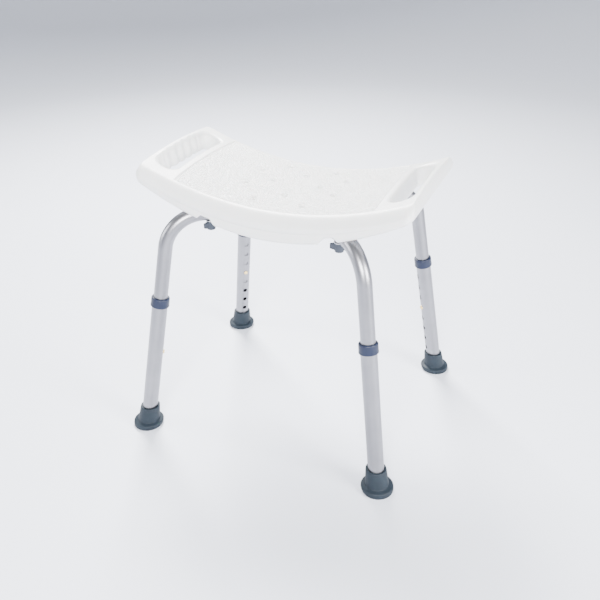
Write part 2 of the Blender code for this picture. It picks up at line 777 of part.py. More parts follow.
def build_leg(corner, meshes):
    """One leg's pieces. The corner's empty faces the middle, and the leg's empty lies on the leg's axis."""
    angle = CORNERS[corner]
    place = (LEG_SPREAD * math.cos(angle), LEG_SPREAD * math.sin(angle), 0)
    standing = empty(f"corner_{corner}", location=place, rotation=(0, 0, angle + math.pi))
    leaning = empty(f"leg_axis_{corner}", standing, rotation=(0, LEG_SPLAY, 0))
    part(f"lower_leg_{corner}", meshes["lower_tube"], ALUMINIUM, leaning)
    part(f"leg_collar_{corner}", meshes["collar"], COLLAR_PLASTIC, leaning)
    part(f"rubber_foot_{corner}", meshes["foot"], RUBBER, standing)
    washer_x = FOOT_FLOOR * math.tan(LEG_SPLAY)
    part(f"foot_washer_{corner}", meshes["foot_washer"], STEEL, standing, location=(washer_x, 0, 0))
    at_button = (0, 0, BUTTON_AT)
    part(f"snap_button_{corner}", meshes["button"], BRASS, leaning, at_button, (0, math.pi / 2, 0))
    part(f"button_spring_{corner}", meshes["spring"], STEEL, leaning, at_button)


def build_knob(corner, meshes):
    x, y = knob_place(corner)
    turn = math.radians(KNOB_TURNS[corner])
    axis = empty(f"knob_axis_{corner}", location=(x, y, KNOB_TOP), rotation=(0, 0, turn))
    part(f"wing_knob_{corner}", meshes["knob"], KNOB_PLASTIC, axis)
    part(f"knob_stud_{corner}", meshes["stud"], STEEL, axis)
    part(f"knob_washer_{corner}", meshes["knob_washer"], STEEL, location=(x, y, 0))
    part(f"seat_insert_{corner}", meshes["insert"], BRASS, location=(x, y, 0))


def shared_meshes():
    button, button_back = button_mesh()
    washer_r = LOWER_TUBE_R - 0.0006
    washer_low = FOOT_FLOOR + GAP
    return {
        "lower_tube": lower_tube_mesh(),
        "collar": collar_mesh(),
        "foot": foot_mesh(),
        "foot_washer": ring_mesh(0.004, washer_r, washer_low, washer_low + FOOT_WASHER_T),
        "button": button,
        "spring": spring_mesh(button_back),
        "knob": knob_mesh(),
        "stud": stud_mesh(),
        "knob_washer": ring_mesh(STUD_HOLE_R, WASHER_R, WASHER_TOP - WASHER_T, WASHER_TOP),
        "insert": ring_mesh(
            INSERT_BORE_R / math.cos(math.pi / 16), INSERT_R, INSERT_BOTTOM, STUD_TOP
        ),
    }


clear_scene()
stool = new_collection("shower_stool")
cutters = new_collection("cutters")
part("seat", seat_mesh(), WHITE_PLASTIC)
build_frame()
build_crossing()
shared = shared_meshes()
for name in CORNERS:
    build_leg(name, shared)
    build_knob(name, shared)
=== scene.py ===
# %% [markdown]
# # A shower stool
#
# The stool is a white moulded seat on two bent aluminium tubes that cross under it. Each of its four
# legs is a telescope: a wider lower tube slides over the upper one, and a sprung brass button in the
# upper tube snaps into one of eight holes. Winged knobs hold the tubes to the seat from below.
#
# The CAD model gives every piece its place and real size. Here each piece is made again as a fine,
# smooth surface and gets its finish. A corner of the stool is called fl, fr, bl or br: front or back,
# left or right. Front is -Y, and lengths are in metres.

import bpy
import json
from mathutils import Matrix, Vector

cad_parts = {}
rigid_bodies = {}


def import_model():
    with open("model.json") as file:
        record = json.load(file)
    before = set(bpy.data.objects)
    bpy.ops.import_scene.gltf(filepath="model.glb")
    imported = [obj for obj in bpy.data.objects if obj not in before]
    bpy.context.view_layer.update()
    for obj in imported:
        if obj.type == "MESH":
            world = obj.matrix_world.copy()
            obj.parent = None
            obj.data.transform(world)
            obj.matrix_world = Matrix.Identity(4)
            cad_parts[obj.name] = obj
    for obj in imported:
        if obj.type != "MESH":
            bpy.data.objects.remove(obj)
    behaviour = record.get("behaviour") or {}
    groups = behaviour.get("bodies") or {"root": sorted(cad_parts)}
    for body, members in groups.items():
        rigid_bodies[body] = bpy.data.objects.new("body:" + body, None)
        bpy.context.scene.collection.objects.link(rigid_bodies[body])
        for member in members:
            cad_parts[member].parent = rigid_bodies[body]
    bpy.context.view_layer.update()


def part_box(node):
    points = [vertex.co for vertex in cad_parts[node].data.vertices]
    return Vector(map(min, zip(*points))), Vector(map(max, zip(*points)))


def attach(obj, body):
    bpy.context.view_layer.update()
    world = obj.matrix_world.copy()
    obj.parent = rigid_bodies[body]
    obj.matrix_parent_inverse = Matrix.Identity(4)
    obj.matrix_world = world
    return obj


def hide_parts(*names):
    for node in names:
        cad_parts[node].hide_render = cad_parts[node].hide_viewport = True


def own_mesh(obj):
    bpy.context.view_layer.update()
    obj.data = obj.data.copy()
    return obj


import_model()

# %% Other tools used below
import json
import math

import bmesh
import bpy
import numpy as np
from mathutils import Matrix, Vector

# %% [markdown]
# ## Surfaces from numbers
#
# Most pieces here are grids: rows of points, each row a ring round the piece. A ring that closes on
# itself needs one more column of faces, and a pole is a row whose points all fall together. It is
# simplest to make the whole grid with numpy at once, and then to weld points that coincide.

# %% Grid helpers
WELD = 1e-6  # points closer than this are one point


def grid_faces(rows, columns, wrap_rows=False, wrap_columns=True):
    """Corner numbers of a grid's quads: a point, the next in its row, and the two in the next row."""
    row = np.arange(rows if wrap_rows else rows - 1)[:, None]
    column = np.arange(columns if wrap_columns else columns - 1)[None, :]
    next_row, next_column = (row + 1) % rows, (column + 1) % columns
    corners = (
        row * columns + column,
        row * columns + next_column,
        next_row * columns + next_column,
        next_row * columns + column,
    )
    return np.stack(np.broadcast_arrays(*corners), -1).reshape(-1, 4)


def closed_mesh(grid, wrap_rows=False, wrap_columns=True):
    """A welded mesh of a grid of points, shaped (rows, columns, 3), with its faces turned outwards."""
    rows, columns = grid.shape[:2]
    mesh = bpy.data.meshes.new("surface")
    faces = grid_faces(rows, columns, wrap_rows, wrap_columns)
    mesh.from_pydata(grid.reshape(-1, 3).tolist(), [], faces.tolist())
    shape = bmesh.new()
    shape.from_mesh(mesh)
    bmesh.ops.remove_doubles(shape, verts=shape.verts, dist=WELD)
    bmesh.ops.recalc_face_normals(shape, faces=shape.faces)
    shape.to_mesh(mesh)
    shape.free()
    return mesh


def capped_mesh(rings, caps):
    """A closed mesh of rings, with a row of points before the first ring and one after the last."""
    return closed_mesh(np.concatenate([caps[:1], rings, caps[1:]]))


def points_of(mesh):
    """All points of a mesh as rows of x, y and z."""
    points = np.empty(len(mesh.vertices) * 3, np.float32)
    mesh.vertices.foreach_get("co", points)
    return points.reshape(-1, 3).astype(float)


def placed(mesh, matrix):
    """A copy of a mesh moved by a 4 x 4 matrix."""
    copy = mesh.copy()
    copy.transform(Matrix(matrix))
    return copy


def raised(mesh, height):
    return placed(mesh, Matrix.Translation((0, 0, height)))


# %% [markdown]
# ## Profiles with soft corners
#
# No moulded or machined edge is perfectly sharp, and the thin highlight on a rounded edge is what makes
# a render look real. A profile is written as corner points, each with the length that its rounding cuts
# from its two sides. The rounding is a parabola: it starts and ends along the sides, so it never kinks.

# %% Rounded profiles and turned pieces
EDGE_STEPS = 5


def softened(corners, closed=False):
    """Points along a path of (x, y, cut) corners. Each corner P with ends A and B of its cut sides
    becomes the curve (1-t)^2 A + 2t(1-t) P + t^2 B, for t from 0 to 1."""
    spots = np.array([corner[:2] for corner in corners], float)
    cuts = np.array([corner[2] for corner in corners], float)
    if not closed:
        cuts[[0, -1]] = 0
    before = np.roll(spots, 1, axis=0) - spots
    after = np.roll(spots, -1, axis=0) - spots
    reach = [np.linalg.norm(side, axis=1, keepdims=True) for side in (before, after)]
    start = spots + before / reach[0] * np.minimum(cuts[:, None], reach[0] / 2)
    end = spots + after / reach[1] * np.minimum(cuts[:, None], reach[1] / 2)
    t = np.linspace(0, 1, EDGE_STEPS)[None, :, None]
    curve = (1 - t) ** 2 * start[:, None] + 2 * t * (1 - t) * spots[:, None] + t**2 * end[:, None]
    keep = np.ones((len(spots), EDGE_STEPS), bool)
    keep[cuts <= 0, 1:] = False
    return curve[keep]


def full_turn(steps):
    return np.arange(steps) * math.tau / steps


def round_grid(radius, angle, height):
    """Points (r cos a, r sin a, z) for every row and every angle."""
    return np.stack(np.broadcast_arrays(radius * np.cos(angle), radius * np.sin(angle), height), -1)


def turned(corners, steps=64, ring=False):
    """A surface of revolution about Z: each profile point (r, z) becomes (r cos a, r sin a, z)."""
    profile = softened(corners, closed=ring)
    return closed_mesh(round_grid(profile[:, :1], full_turn(steps), profile[:, 1:]), wrap_rows=ring)


def cutter(radius, low, high, steps=40):
    """A plain rod along Z that drills a hole."""
    return turned([(0, high, 0), (radius, high, 0), (radius, low, 0), (0, low, 0)], steps)


# %% [markdown]
# ## Cutting holes
#
# A hole through a curved wall is easiest as a Boolean. All the cutters of a piece are joined into one
# mesh first, because one cut is faster than twenty. The exact solver keeps the hole's edge clean.

# %% Boolean helper
def joined(meshes):
    """One mesh that holds all of the given ones."""
    shape = bmesh.new()
    for mesh in meshes:
        shape.from_mesh(mesh)
    whole = bpy.data.meshes.new("joined")
    shape.to_mesh(whole)
    shape.free()
    return whole


def combined(mesh, others, operation):
    """The mesh after one exact Boolean with all the others."""
    target = bpy.data.objects.new("target", mesh)
    tool = bpy.data.objects.new("tool", joined(others))
    for item in (target, tool):
        bpy.context.scene.collection.objects.link(item)
    step = target.modifiers.new("cut", "BOOLEAN")
    step.operation = operation
    step.solver = "EXACT"
    step.object = tool
    bpy.context.view_layer.update()
    graph = bpy.context.evaluated_depsgraph_get()
    result = bpy.data.meshes.new_from_object(target.evaluated_get(graph))
    for item in (target, tool):
        bpy.data.objects.remove(item)
    return result


# %% [markdown]
# ## Putting a piece in the scene
#
# A finished piece keeps its place in its mesh, so its object stays at the origin. It rides on a CAD
# body, hides the CAD node that it stands for, and wears the finish that it is given. Faces are
# smooth, but an edge sharper than an angle stays an edge.

# %% Piece helper
def add_piece(name, mesh, finish, body, node, sharp=40):
    """A visible piece that rides on a body and stands for a CAD node. Prints its faces and its size."""
    mesh.name = name
    mesh.materials.clear()
    mesh.materials.append(finish)
    mesh.shade_smooth()
    mesh.set_sharp_from_angle(angle=math.radians(sharp))
    item = bpy.data.objects.new(name, mesh)
    bpy.context.scene.collection.objects.link(item)
    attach(item, body)
    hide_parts(node)
    size = np.ptp(points_of(mesh), axis=0) * 1000
    print(f"{name}: {len(mesh.polygons)} faces, {size.round(1)} mm")
    return item


# %% [markdown]
# ## Where the legs and knobs are
#
# The legs stand on the diagonals of the seat and lean in towards it. Two sets of axes are handy: one
# upright at the foot of a leg, and one along the leg. In both, X points to the middle of the stool.

# %% Leg and knob places
LEG_AZIMUTH = math.radians(40.3)
LEG_SPLAY = math.radians(10.52)
LEG_SPREAD = 0.30439
CORNERS = {
    "fl": math.pi + LEG_AZIMUTH,
    "fr": -LEG_AZIMUTH,
    "bl": math.pi - LEG_AZIMUTH,
    "br": LEG_AZIMUTH,
}


def upright_axes(corner):
    angle = CORNERS[corner]
    place = Matrix.Translation((LEG_SPREAD * math.cos(angle), LEG_SPREAD * math.sin(angle), 0))
    return place @ Matrix.Rotation(angle + math.pi, 4, "Z")


def leg_axes(corner):
    return upright_axes(corner) @ Matrix.Rotation(LEG_SPLAY, 4, "Y")


def middle(node):
    """The middle of a CAD node's box."""
    low, high = (np.array(end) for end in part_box(node))
    return (low + high) / 2


def top_of(node):
    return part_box(node)[1][2]


def bottom_of(node):
    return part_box(node)[0][2]


def on_leg(mesh, corner):
    return placed(mesh, leg_axes(corner))


def at_foot(mesh, corner):
    return placed(mesh, upright_axes(corner))


def at_knob(mesh, corner):
    x, y, _ = middle(f"knob_washer_{corner}")
    return placed(mesh, Matrix.Translation((x, y, 0)))


def add_at_corners(name, mesh, place, finish, body, node, sharp=40):
    """The same piece at every corner: place moves the mesh there, and {} in a name is the corner's own."""
    return {
        corner: add_piece(
            name.format(corner), place(mesh, corner), finish, body.format(corner),
            node.format(corner), sharp,
        )
        for corner in CORNERS
    }


for name in CORNERS:
    foot_middle, knob_middle = middle(f"rubber_foot_{name}"), middle(f"knob_washer_{name}")
    print(name, "foot", foot_middle.round(3), "knob", knob_middle.round(3))

# %% [markdown]
# # Finishes
#
# Every finish is made of nodes, so it has detail at any distance. Two effects are node groups: fine
# moulding grain, and drawn lines along a tube. A group only puts out values, and the shader stays
# outside it.

# %% Node helpers
def add_node(tree, kind, **inputs):
    """A node of a kind, with named inputs set to values or joined to other nodes' outputs."""
    node = tree.nodes.new(kind)
    for key, value in inputs.items():
        set_input(tree, node, key.replace("_", " "), value)
    return node


def set_input(tree, node, key, value):
    socket = node.inputs[int(key) if key.isdigit() else key]
    if isinstance(value, bpy.types.NodeSocket):
        tree.links.new(value, socket)
    else:
        socket.default_value = value


def math_node(tree, operation, *values, clamp=False):
    """The result of one sum on values or outputs."""
    node = tree.nodes.new("ShaderNodeMath")
    node.operation = operation
    node.use_clamp = clamp
    for index, value in enumerate(values):
        set_input(tree, node, str(index), value)
    return node.outputs[0]


def new_group(name, inputs, outputs):
    """An empty node group with float or vector inputs and float outputs."""
    group = bpy.data.node_groups.new(name, "ShaderNodeTree")
    for key, value in inputs.items():
        kind = "NodeSocketVector" if value is None else "NodeSocketFloat"
        socket = group.interface.new_socket(name=key, in_out="INPUT", socket_type=kind)
        if value is not None:
            socket.default_value = value
    for key in outputs:
        group.interface.new_socket(name=key, in_out="OUTPUT", socket_type="NodeSocketFloat")
    return group, group.nodes.new("NodeGroupInput"), group.nodes.new("NodeGroupOutput")


# %% [markdown]
# ## Moulding grain
#
# Moulded plastic and rubber copy the fine blasted texture of their tool. Two layers of noise do this:
# a fine one for the grain, and a broad one for the slight waves where the wall cooled unevenly.

# %% Grain group
def make_grain_group():
    """Height = grain + 3 x waves, and Tone = broad noise, both from noise at the given sizes in metres."""
    group, given, out = new_group(
        "moulding_grain", {"Vector": None, "Grain Size": 0.0006, "Wave Size": 0.02}, ("Height", "Tone")
    )
    place = given.outputs["Vector"]
    fine = math_node(group, "DIVIDE", 1.0, given.outputs["Grain Size"])
    coarse = math_node(group, "DIVIDE", 1.0, given.outputs["Wave Size"])
    grain = add_node(group, "ShaderNodeTexNoise", Vector=place, Scale=fine, Detail=2.0, Roughness=0.5)
    waves = add_node(group, "ShaderNodeTexNoise", Vector=place, Scale=coarse, Detail=3.0, Roughness=0.6)
    broad = math_node(group, "MULTIPLY", waves.outputs[0], 3.0)
    set_input(group, out, "Height", math_node(group, "ADD", grain.outputs[0], broad))
    set_input(group, out, "Tone", waves.outputs[0])
    return group


grain_group = make_grain_group()
print("group:", grain_group.name)

# %% [markdown]
# ## Drawn lines
#
# A drawn and anodised tube has very fine lines along its length. Noise that is stretched a lot along the
# tube gives them. Each tube carries its own coordinates as an attribute, so the lines follow its bends.

# %% Drawn lines group
TUBE_ATTRIBUTE = "tube_place"  # across, across and along the tube, in metres


def make_lines_group():
    """Lines = noise of the point with its distance along the tube shrunk, and Clouds = broad noise."""
    group, given, out = new_group(
        "drawn_lines", {"Vector": None, "Line Width": 0.0005, "Stretch": 0.012}, ("Lines", "Clouds")
    )
    place = given.outputs["Vector"]
    parts = add_node(group, "ShaderNodeSeparateXYZ", Vector=place).outputs
    along = math_node(group, "MULTIPLY", parts[2], given.outputs["Stretch"])
    thin = add_node(group, "ShaderNodeCombineXYZ", X=parts[0], Y=parts[1], Z=along).outputs[0]
    scale = math_node(group, "DIVIDE", 1.0, given.outputs["Line Width"])
    lines = add_node(group, "ShaderNodeTexNoise", Vector=thin, Scale=scale, Detail=3.0, Roughness=0.65)
    clouds = add_node(group, "ShaderNodeTexNoise", Vector=place, Scale=22.0, Detail=3.0)
    set_input(group, out, "Lines", lines.outputs[0])
    set_input(group, out, "Clouds", clouds.outputs[0])
    return group


lines_group = make_lines_group()
print("group:", lines_group.name)

# %% [markdown]
# ## Materials
#
# A material starts from the Principled shader. Its colour moves a little between two close tones, its
# roughness moves with it, and a Bump node turns the grain's height into a change of normal.

# %% Material helpers
def new_material(name, **constants):
    """A material whose Principled shader has its fixed values set on its own sockets."""
    made = bpy.data.materials.new(name)
    made.use_nodes = True
    shader = made.node_tree.nodes["Principled BSDF"]
    for key, value in constants.items():
        shader.inputs[key.replace("_", " ")].default_value = value
    return made, made.node_tree, shader


def use_group(tree, group, vector, **values):
    node = tree.nodes.new("ShaderNodeGroup")
    node.node_tree = group
    tree.links.new(vector, node.inputs["Vector"])
    for key, value in values.items():
        node.inputs[key.replace("_", " ")].default_value = value
    return node


def between(tree, share, first, second):
    """A colour that goes from the first to the second as share goes from 0.3 to 0.7."""
    ramp = tree.nodes.new("ShaderNodeValToRGB")
    ramp.color_ramp.elements[0].position = 0.3
    ramp.color_ramp.elements[1].position = 0.7
    ramp.color_ramp.elements[0].color = (*first, 1)
    ramp.color_ramp.elements[1].color = (*second, 1)
    tree.links.new(share, ramp.inputs[0])
    return ramp.outputs[0]


def ranged(tree, share, low, high):
    """A value that goes from low to high as share goes from 0 to 1."""
    node = tree.nodes.new("ShaderNodeMapRange")
    node.inputs["To Min"].default_value = low
    node.inputs["To Max"].default_value = high
    tree.links.new(share, node.inputs["Value"])
    return node.outputs[0]


def bumped(tree, shader, height, distance):
    bump = add_node(tree, "ShaderNodeBump", Strength=1.0, Distance=distance, Height=height)
    tree.links.new(bump.outputs[0], shader.inputs["Normal"])


# %% Moulded plastic and rubber
def moulded(name, dark, light, roughness, grain, depth, wave=0.02, **constants):
    """A finish with grain of the given size and depth, waves of a size, and a roughness range."""
    made, tree, shader = new_material(name, **constants)
    place = tree.nodes.new("ShaderNodeTexCoord").outputs["Object"]
    texture = use_group(tree, grain_group, place, Grain_Size=grain, Wave_Size=wave)
    tree.links.new(between(tree, texture.outputs["Tone"], dark, light), shader.inputs["Base Color"])
    tree.links.new(ranged(tree, texture.outputs["Tone"], *roughness), shader.inputs["Roughness"])
    bumped(tree, shader, texture.outputs["Height"], depth)
    return made


collar_finish = moulded(
    "collar_plastic", (0.011, 0.015, 0.033), (0.015, 0.020, 0.042), (0.34, 0.46), 0.0007, 0.00004,
    Specular_IOR_Level=0.25
)
knob_finish = moulded(
    "knob_plastic", (0.030, 0.036, 0.050), (0.038, 0.045, 0.060), (0.40, 0.54), 0.0006, 0.00005,
    Specular_IOR_Level=0.3
)
rubber_finish = moulded(
    "foot_rubber", (0.008, 0.013, 0.019), (0.011, 0.018, 0.026), (0.50, 0.66), 0.0008, 0.00007,
    Specular_IOR_Level=0.25
)
print("moulded finishes:", collar_finish.name, knob_finish.name, rubber_finish.name)


# %% Metals
def metal(name, dark, light, roughness, width, depth):
    """Drawn metal whose lines follow the tube attribute."""
    made, tree, shader = new_material(name, Metallic=1.0)
    place = tree.nodes.new("ShaderNodeAttribute")
    place.attribute_name = TUBE_ATTRIBUTE
    texture = use_group(tree, lines_group, place.outputs["Vector"], Line_Width=width)
    tree.links.new(between(tree, texture.outputs["Clouds"], dark, light), shader.inputs["Base Color"])
    tree.links.new(ranged(tree, texture.outputs["Lines"], *roughness), shader.inputs["Roughness"])
    bumped(tree, shader, texture.outputs["Lines"], depth)
    return made


def plated(name, dark, light, roughness):
    """A small plated fitting: a little cloudy, with faint pits."""
    return moulded(name, dark, light, roughness, 0.0004, 0.00001, wave=0.004, Metallic=1.0)


aluminium_finish = metal(
    "tube_aluminium", (0.255, 0.252, 0.268), (0.29, 0.287, 0.303), (0.32, 0.42), 0.0005, 0.00001
)
brass_finish = plated("button_brass", (0.78, 0.58, 0.25), (0.86, 0.66, 0.32), (0.22, 0.34))
steel_finish = plated("fitting_steel", (0.58, 0.58, 0.60), (0.66, 0.66, 0.68), (0.24, 0.38))
print("metals:", aluminium_finish.name, brass_finish.name, steel_finish.name)

# %% [markdown]
# # The seat
#
# The seat is a moulded slab that dips along its length like a saddle and swells a little across it. Its
# top is a height for every x and y, so it can be made as rings: rounded rectangles that grow from a
# spine in the middle to the rim, turn down over the shoulder, and come back under. Each ring has the
# same number of points, and so the rings make one closed grid.

# %% Seat shape
SEAT_LENGTH, SEAT_DEPTH = (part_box("seat")[1][axis] * 2 for axis in (0, 1))
SEAT_TOP = 0.4525
SADDLE_R = 0.568
CROWN_R = 1.050
RIM_HEIGHT = 0.053
RIM_LIFT_R = 0.413
PANEL_LENGTH, PANEL_DEPTH = 0.356, 0.224
PANEL_STEP = 0.0008
PANEL_THICKNESS = 0.013


def seat_top(x, y):
    """Height of the top: a parabola up along x, and a gentler one down along y."""
    return SEAT_TOP + x**2 / (2 * SADDLE_R) - y**2 / (2 * CROWN_R)


def rim_bottom(x):
    """Height of the rim's lower edge: a parabola up along x."""
    return SEAT_TOP - RIM_HEIGHT + x**2 / (2 * RIM_LIFT_R)


def outline(half_x, half_y, radius, long=40, short=24, corner=14):
    """A rounded rectangle from (half_x, 0), anticlockwise: a half side, a quarter circle and a half side,
    and then the same points mirrored in x and in y."""
    radius = min(radius, half_x, half_y)
    x, y = half_x - radius, half_y - radius
    up = np.linspace(0, y, short + 1)
    turn = np.linspace(0, math.pi / 2, corner + 1)[1:]
    back = np.linspace(x, 0, long + 1)[1:]
    quarter = np.concatenate([
        np.column_stack([np.full_like(up, half_x), up]),
        np.column_stack([x + radius * np.cos(turn), y + radius * np.sin(turn)]),
        np.column_stack([back, np.full_like(back, half_y)]),
    ])
    upper = np.concatenate([quarter, quarter[-2::-1] * (-1, 1)])
    return np.concatenate([upper, upper[-2:0:-1] * (1, -1)])


print("seat:", round(SEAT_LENGTH, 3), "x", round(SEAT_DEPTH, 3), "points in a ring:", len(outline(1, 1, 0.1)))

# %% [markdown]
# The rings are listed from the spine of the top to the spine of the underside. Each is an outline and a
# height. The shoulder is a quarter of an ellipse, the mould's parting line is a fine groove round the
# side, and the lower edge is rounded. Underneath, a recess leaves a panel of even thickness.

# %% Seat rings
SEAT_CORNER_R, SHOULDER_CORNER_R = 0.014, 0.008
SHOULDER_FRONT, SHOULDER_END = 0.020, 0.007  # width of the rolled edge along the front, and at the ends
SHOULDER_DROP = 0.0155
PARTING_SHARE = 0.57  # of the upright side's height, from below
PARTING_DEPTH = 0.0005
RIM_ROUND = 0.006
SKIRT_WIDTH = 0.018
RECESS_FILLET = 0.005
PANEL_CORNER_R, RECESS_CORNER_R = 0.012, 0.025


def seat_ring(half_x, half_y, radius, height):
    """An outline with a height for each of its points."""
    flat = outline(half_x, half_y, radius)
    return np.column_stack([flat, height(flat[:, 0], flat[:, 1])])


def shoulder_ring(share, height):
    """A ring on the rolled edge: share is 1 where it starts to roll, and 0 at the upright side."""
    radius = SEAT_CORNER_R + (SHOULDER_CORNER_R - SEAT_CORNER_R) * share
    half_x, half_y = SEAT_LENGTH / 2 - SHOULDER_END * share, SEAT_DEPTH / 2 - SHOULDER_FRONT * share
    return seat_ring(half_x, half_y, radius, height)


def inset_ring(inset, height):
    return seat_ring(SEAT_LENGTH / 2 - inset, SEAT_DEPTH / 2 - inset, SEAT_CORNER_R - inset, height)


def sheet_rings(half_x, half_y, radius, shares, height):
    """Rings that shrink from a rounded rectangle to a spine along x, as the share goes from 1 to 0."""
    spine = half_x - half_y
    return [
        seat_ring(spine + (half_x - spine) * share, half_y * share, radius * share, height)
        for share in shares
    ]


def top_less(drop):
    return lambda x, y: seat_top(x, y) - drop


def rim_plus(rise):
    return lambda x, y: rim_bottom(x) + rise


def wall_height(share, rise=0.0):
    """A height on the upright side: from the top of the lower rounding, at share 0, to the shoulder, at 1."""
    def height(x, y):
        low, high = rim_bottom(x) + RIM_ROUND, seat_top(x, y) - SHOULDER_DROP
        return low + share * (high - low) + rise
    return height


# %% [markdown]
# The panel lies a little lower than the rest, with a soft step at its border. The rolled edge falls as a
# parabola, gently at first, and then turns into the upright side through a tight curve. That tight curve
# catches the light as a thin line along the front.

# %% Rings from top to underside
def panel_and_border():
    """The panel from its spine out, and the border's step as a smooth S of sine shape."""
    half_x, half_y = PANEL_LENGTH / 2, PANEL_DEPTH / 2
    shares = np.linspace(0, 0.997, 26)
    rings = sheet_rings(half_x, half_y, PANEL_CORNER_R, shares, top_less(PANEL_STEP))
    for share in np.linspace(0, 1, 7):
        out = 0.0011 * share
        drop = PANEL_STEP * (1 + math.cos(math.pi * share)) / 2
        rings.append(seat_ring(half_x + out, half_y + out, PANEL_CORNER_R, top_less(drop)))
    return rings


def margin():
    """From the border to the start of the rolled edge, in even steps."""
    start = np.array([PANEL_LENGTH / 2 + 0.0013, PANEL_DEPTH / 2 + 0.0013, PANEL_CORNER_R])
    end = np.array([SEAT_LENGTH / 2 - SHOULDER_END, SEAT_DEPTH / 2 - SHOULDER_FRONT, SHOULDER_CORNER_R])
    return [seat_ring(*(start + (end - start) * share), top_less(0)) for share in np.linspace(0, 1, 14)]


def rolled_edge():
    """A parabola, and then a curve between its end and the upright side that leaves both at their slopes."""
    turn_share, full = 0.12, 0.93 * SHOULDER_DROP
    rings = [
        shoulder_ring(share, top_less(full * (1 - share) ** 2))
        for share in np.linspace(1, turn_share, 16)[1:]
    ]
    first = full * (1 - turn_share) ** 2
    crossing = first + 2 * full * (1 - turn_share) * turn_share
    for t in np.linspace(0, 1, 8)[1:]:
        drop = (1 - t) ** 2 * first + 2 * t * (1 - t) * crossing + t**2 * SHOULDER_DROP
        rings.append(shoulder_ring(turn_share * (1 - t) ** 2, top_less(drop)))
    return rings


def side_and_lower_edge():
    """The upright side with its parting groove, and a quarter circle under it."""
    rings = [inset_ring(0, wall_height((1 + PARTING_SHARE) / 2))]
    for rise, inset in ((0.0005, 0.0), (0.0, 1.0), (-0.0005, 0.5)):
        rings.append(inset_ring(inset * PARTING_DEPTH, wall_height(PARTING_SHARE, rise)))
    rings.append(inset_ring(0.5 * PARTING_DEPTH, wall_height(PARTING_SHARE / 2)))
    for turn in np.linspace(0, math.pi / 2, 10):
        inset = 0.5 * PARTING_DEPTH + RIM_ROUND * (1 - math.cos(turn))
        rings.append(inset_ring(inset, rim_plus(RIM_ROUND * (1 - math.sin(turn)))))
    return rings


def underside():
    """The flat lower edge, a soft lip, the recess's wall and fillet, and its ceiling in to the spine."""
    recess_x, recess_y = PANEL_LENGTH / 2, SEAT_DEPTH / 2 - SKIRT_WIDTH
    rings = []
    for turn in np.linspace(0, math.pi / 2, 5):
        lip, rise = 0.0015 * (1 - math.sin(turn)), 0.0015 * (1 - math.cos(turn))
        rings.append(seat_ring(recess_x + lip, recess_y + lip, RECESS_CORNER_R, rim_plus(rise)))
    for turn in np.linspace(0, math.pi / 2, 7):
        inset = RECESS_FILLET * (1 - math.cos(turn))
        drop = PANEL_THICKNESS + RECESS_FILLET * (1 - math.sin(turn))
        rings.append(seat_ring(recess_x - inset, recess_y - inset, RECESS_CORNER_R - inset, top_less(drop)))
    inner = (recess_x - RECESS_FILLET, recess_y - RECESS_FILLET, RECESS_CORNER_R - RECESS_FILLET)
    return rings + sheet_rings(*inner, np.linspace(1, 0, 20)[1:], top_less(PANEL_THICKNESS))


def seat_rings():
    return np.array(panel_and_border() + margin() + rolled_edge() + side_and_lower_edge() + underside())


seat_body = closed_mesh(seat_rings())
print("seat body:", len(seat_body.polygons), "faces")

# %% [markdown]
# ## Holes in the seat
#
# Water leaves through dished drain holes. A hand goes through a slot at each end, with a rounded mouth
# and grooves for the fingers in its outer wall. The rim has a notch beside each knob. All of these are
# cutters, each with the rounding that its edge should have: a rounding is the curve of a quarter circle
# that meets the surface flat, so the cut leaves a soft lip.

# %% Drain cutters
DRAIN_COLUMNS = ((0.0, (0.050,)), (0.0445, (0.0, 0.083)), (0.0815, (0.034,)))
DRAIN_R = 0.0035
DRAIN_DISH_R = 0.0082
DRAIN_DISH_DEPTH = 0.0045


def drain_cutter(x, y):
    """A trumpet: its radius falls from the dish's to the hole's as the square of the height left."""
    left = np.linspace(1, 0, 12)
    mouth = [
        (DRAIN_R + (DRAIN_DISH_R - DRAIN_R) * share**2, DRAIN_DISH_DEPTH * (share - 1), 0)
        for share in left
    ]
    above = (DRAIN_DISH_R + 0.004, 0.002, 0)
    rod = [(DRAIN_R, -0.02, 0), (0, -0.02, 0)]
    shape = turned([(0, 0.002, 0), above, *mouth, *rod], 40)
    return placed(shape, Matrix.Translation((x, y, seat_top(x, y) - PANEL_STEP)))


drain_places = sorted({
    (side_x * x + 0.0, side_y * y + 0.0)
    for x, rows in DRAIN_COLUMNS
    for y in rows
    for side_x in (-1, 1)
    for side_y in (-1, 1)
})
drains = [drain_cutter(x, y) for x, y in drain_places]
print("drain holes:", len(drains))

# %% Handle slot cutters
SLOT_X, SLOT_WIDTH, SLOT_LENGTH = 0.210, 0.036, 0.172
LIP_DEPTH, LIP_OUTSIDE, LIP_INSIDE, LIP_ENDS = 0.009, 0.0045, 0.006, 0.009
LOWER_LIP = 0.007  # height of the rounding at the bottom
SLOT_TAPER = 0.7  # how far the walls draw in at the bottom, as a share of the lip
SLOT_LOW = rim_bottom(SLOT_X - SLOT_WIDTH) - 0.005
FINGERS, FINGER_PITCH, FINGER_DEPTH = 5, 0.024, 0.0018


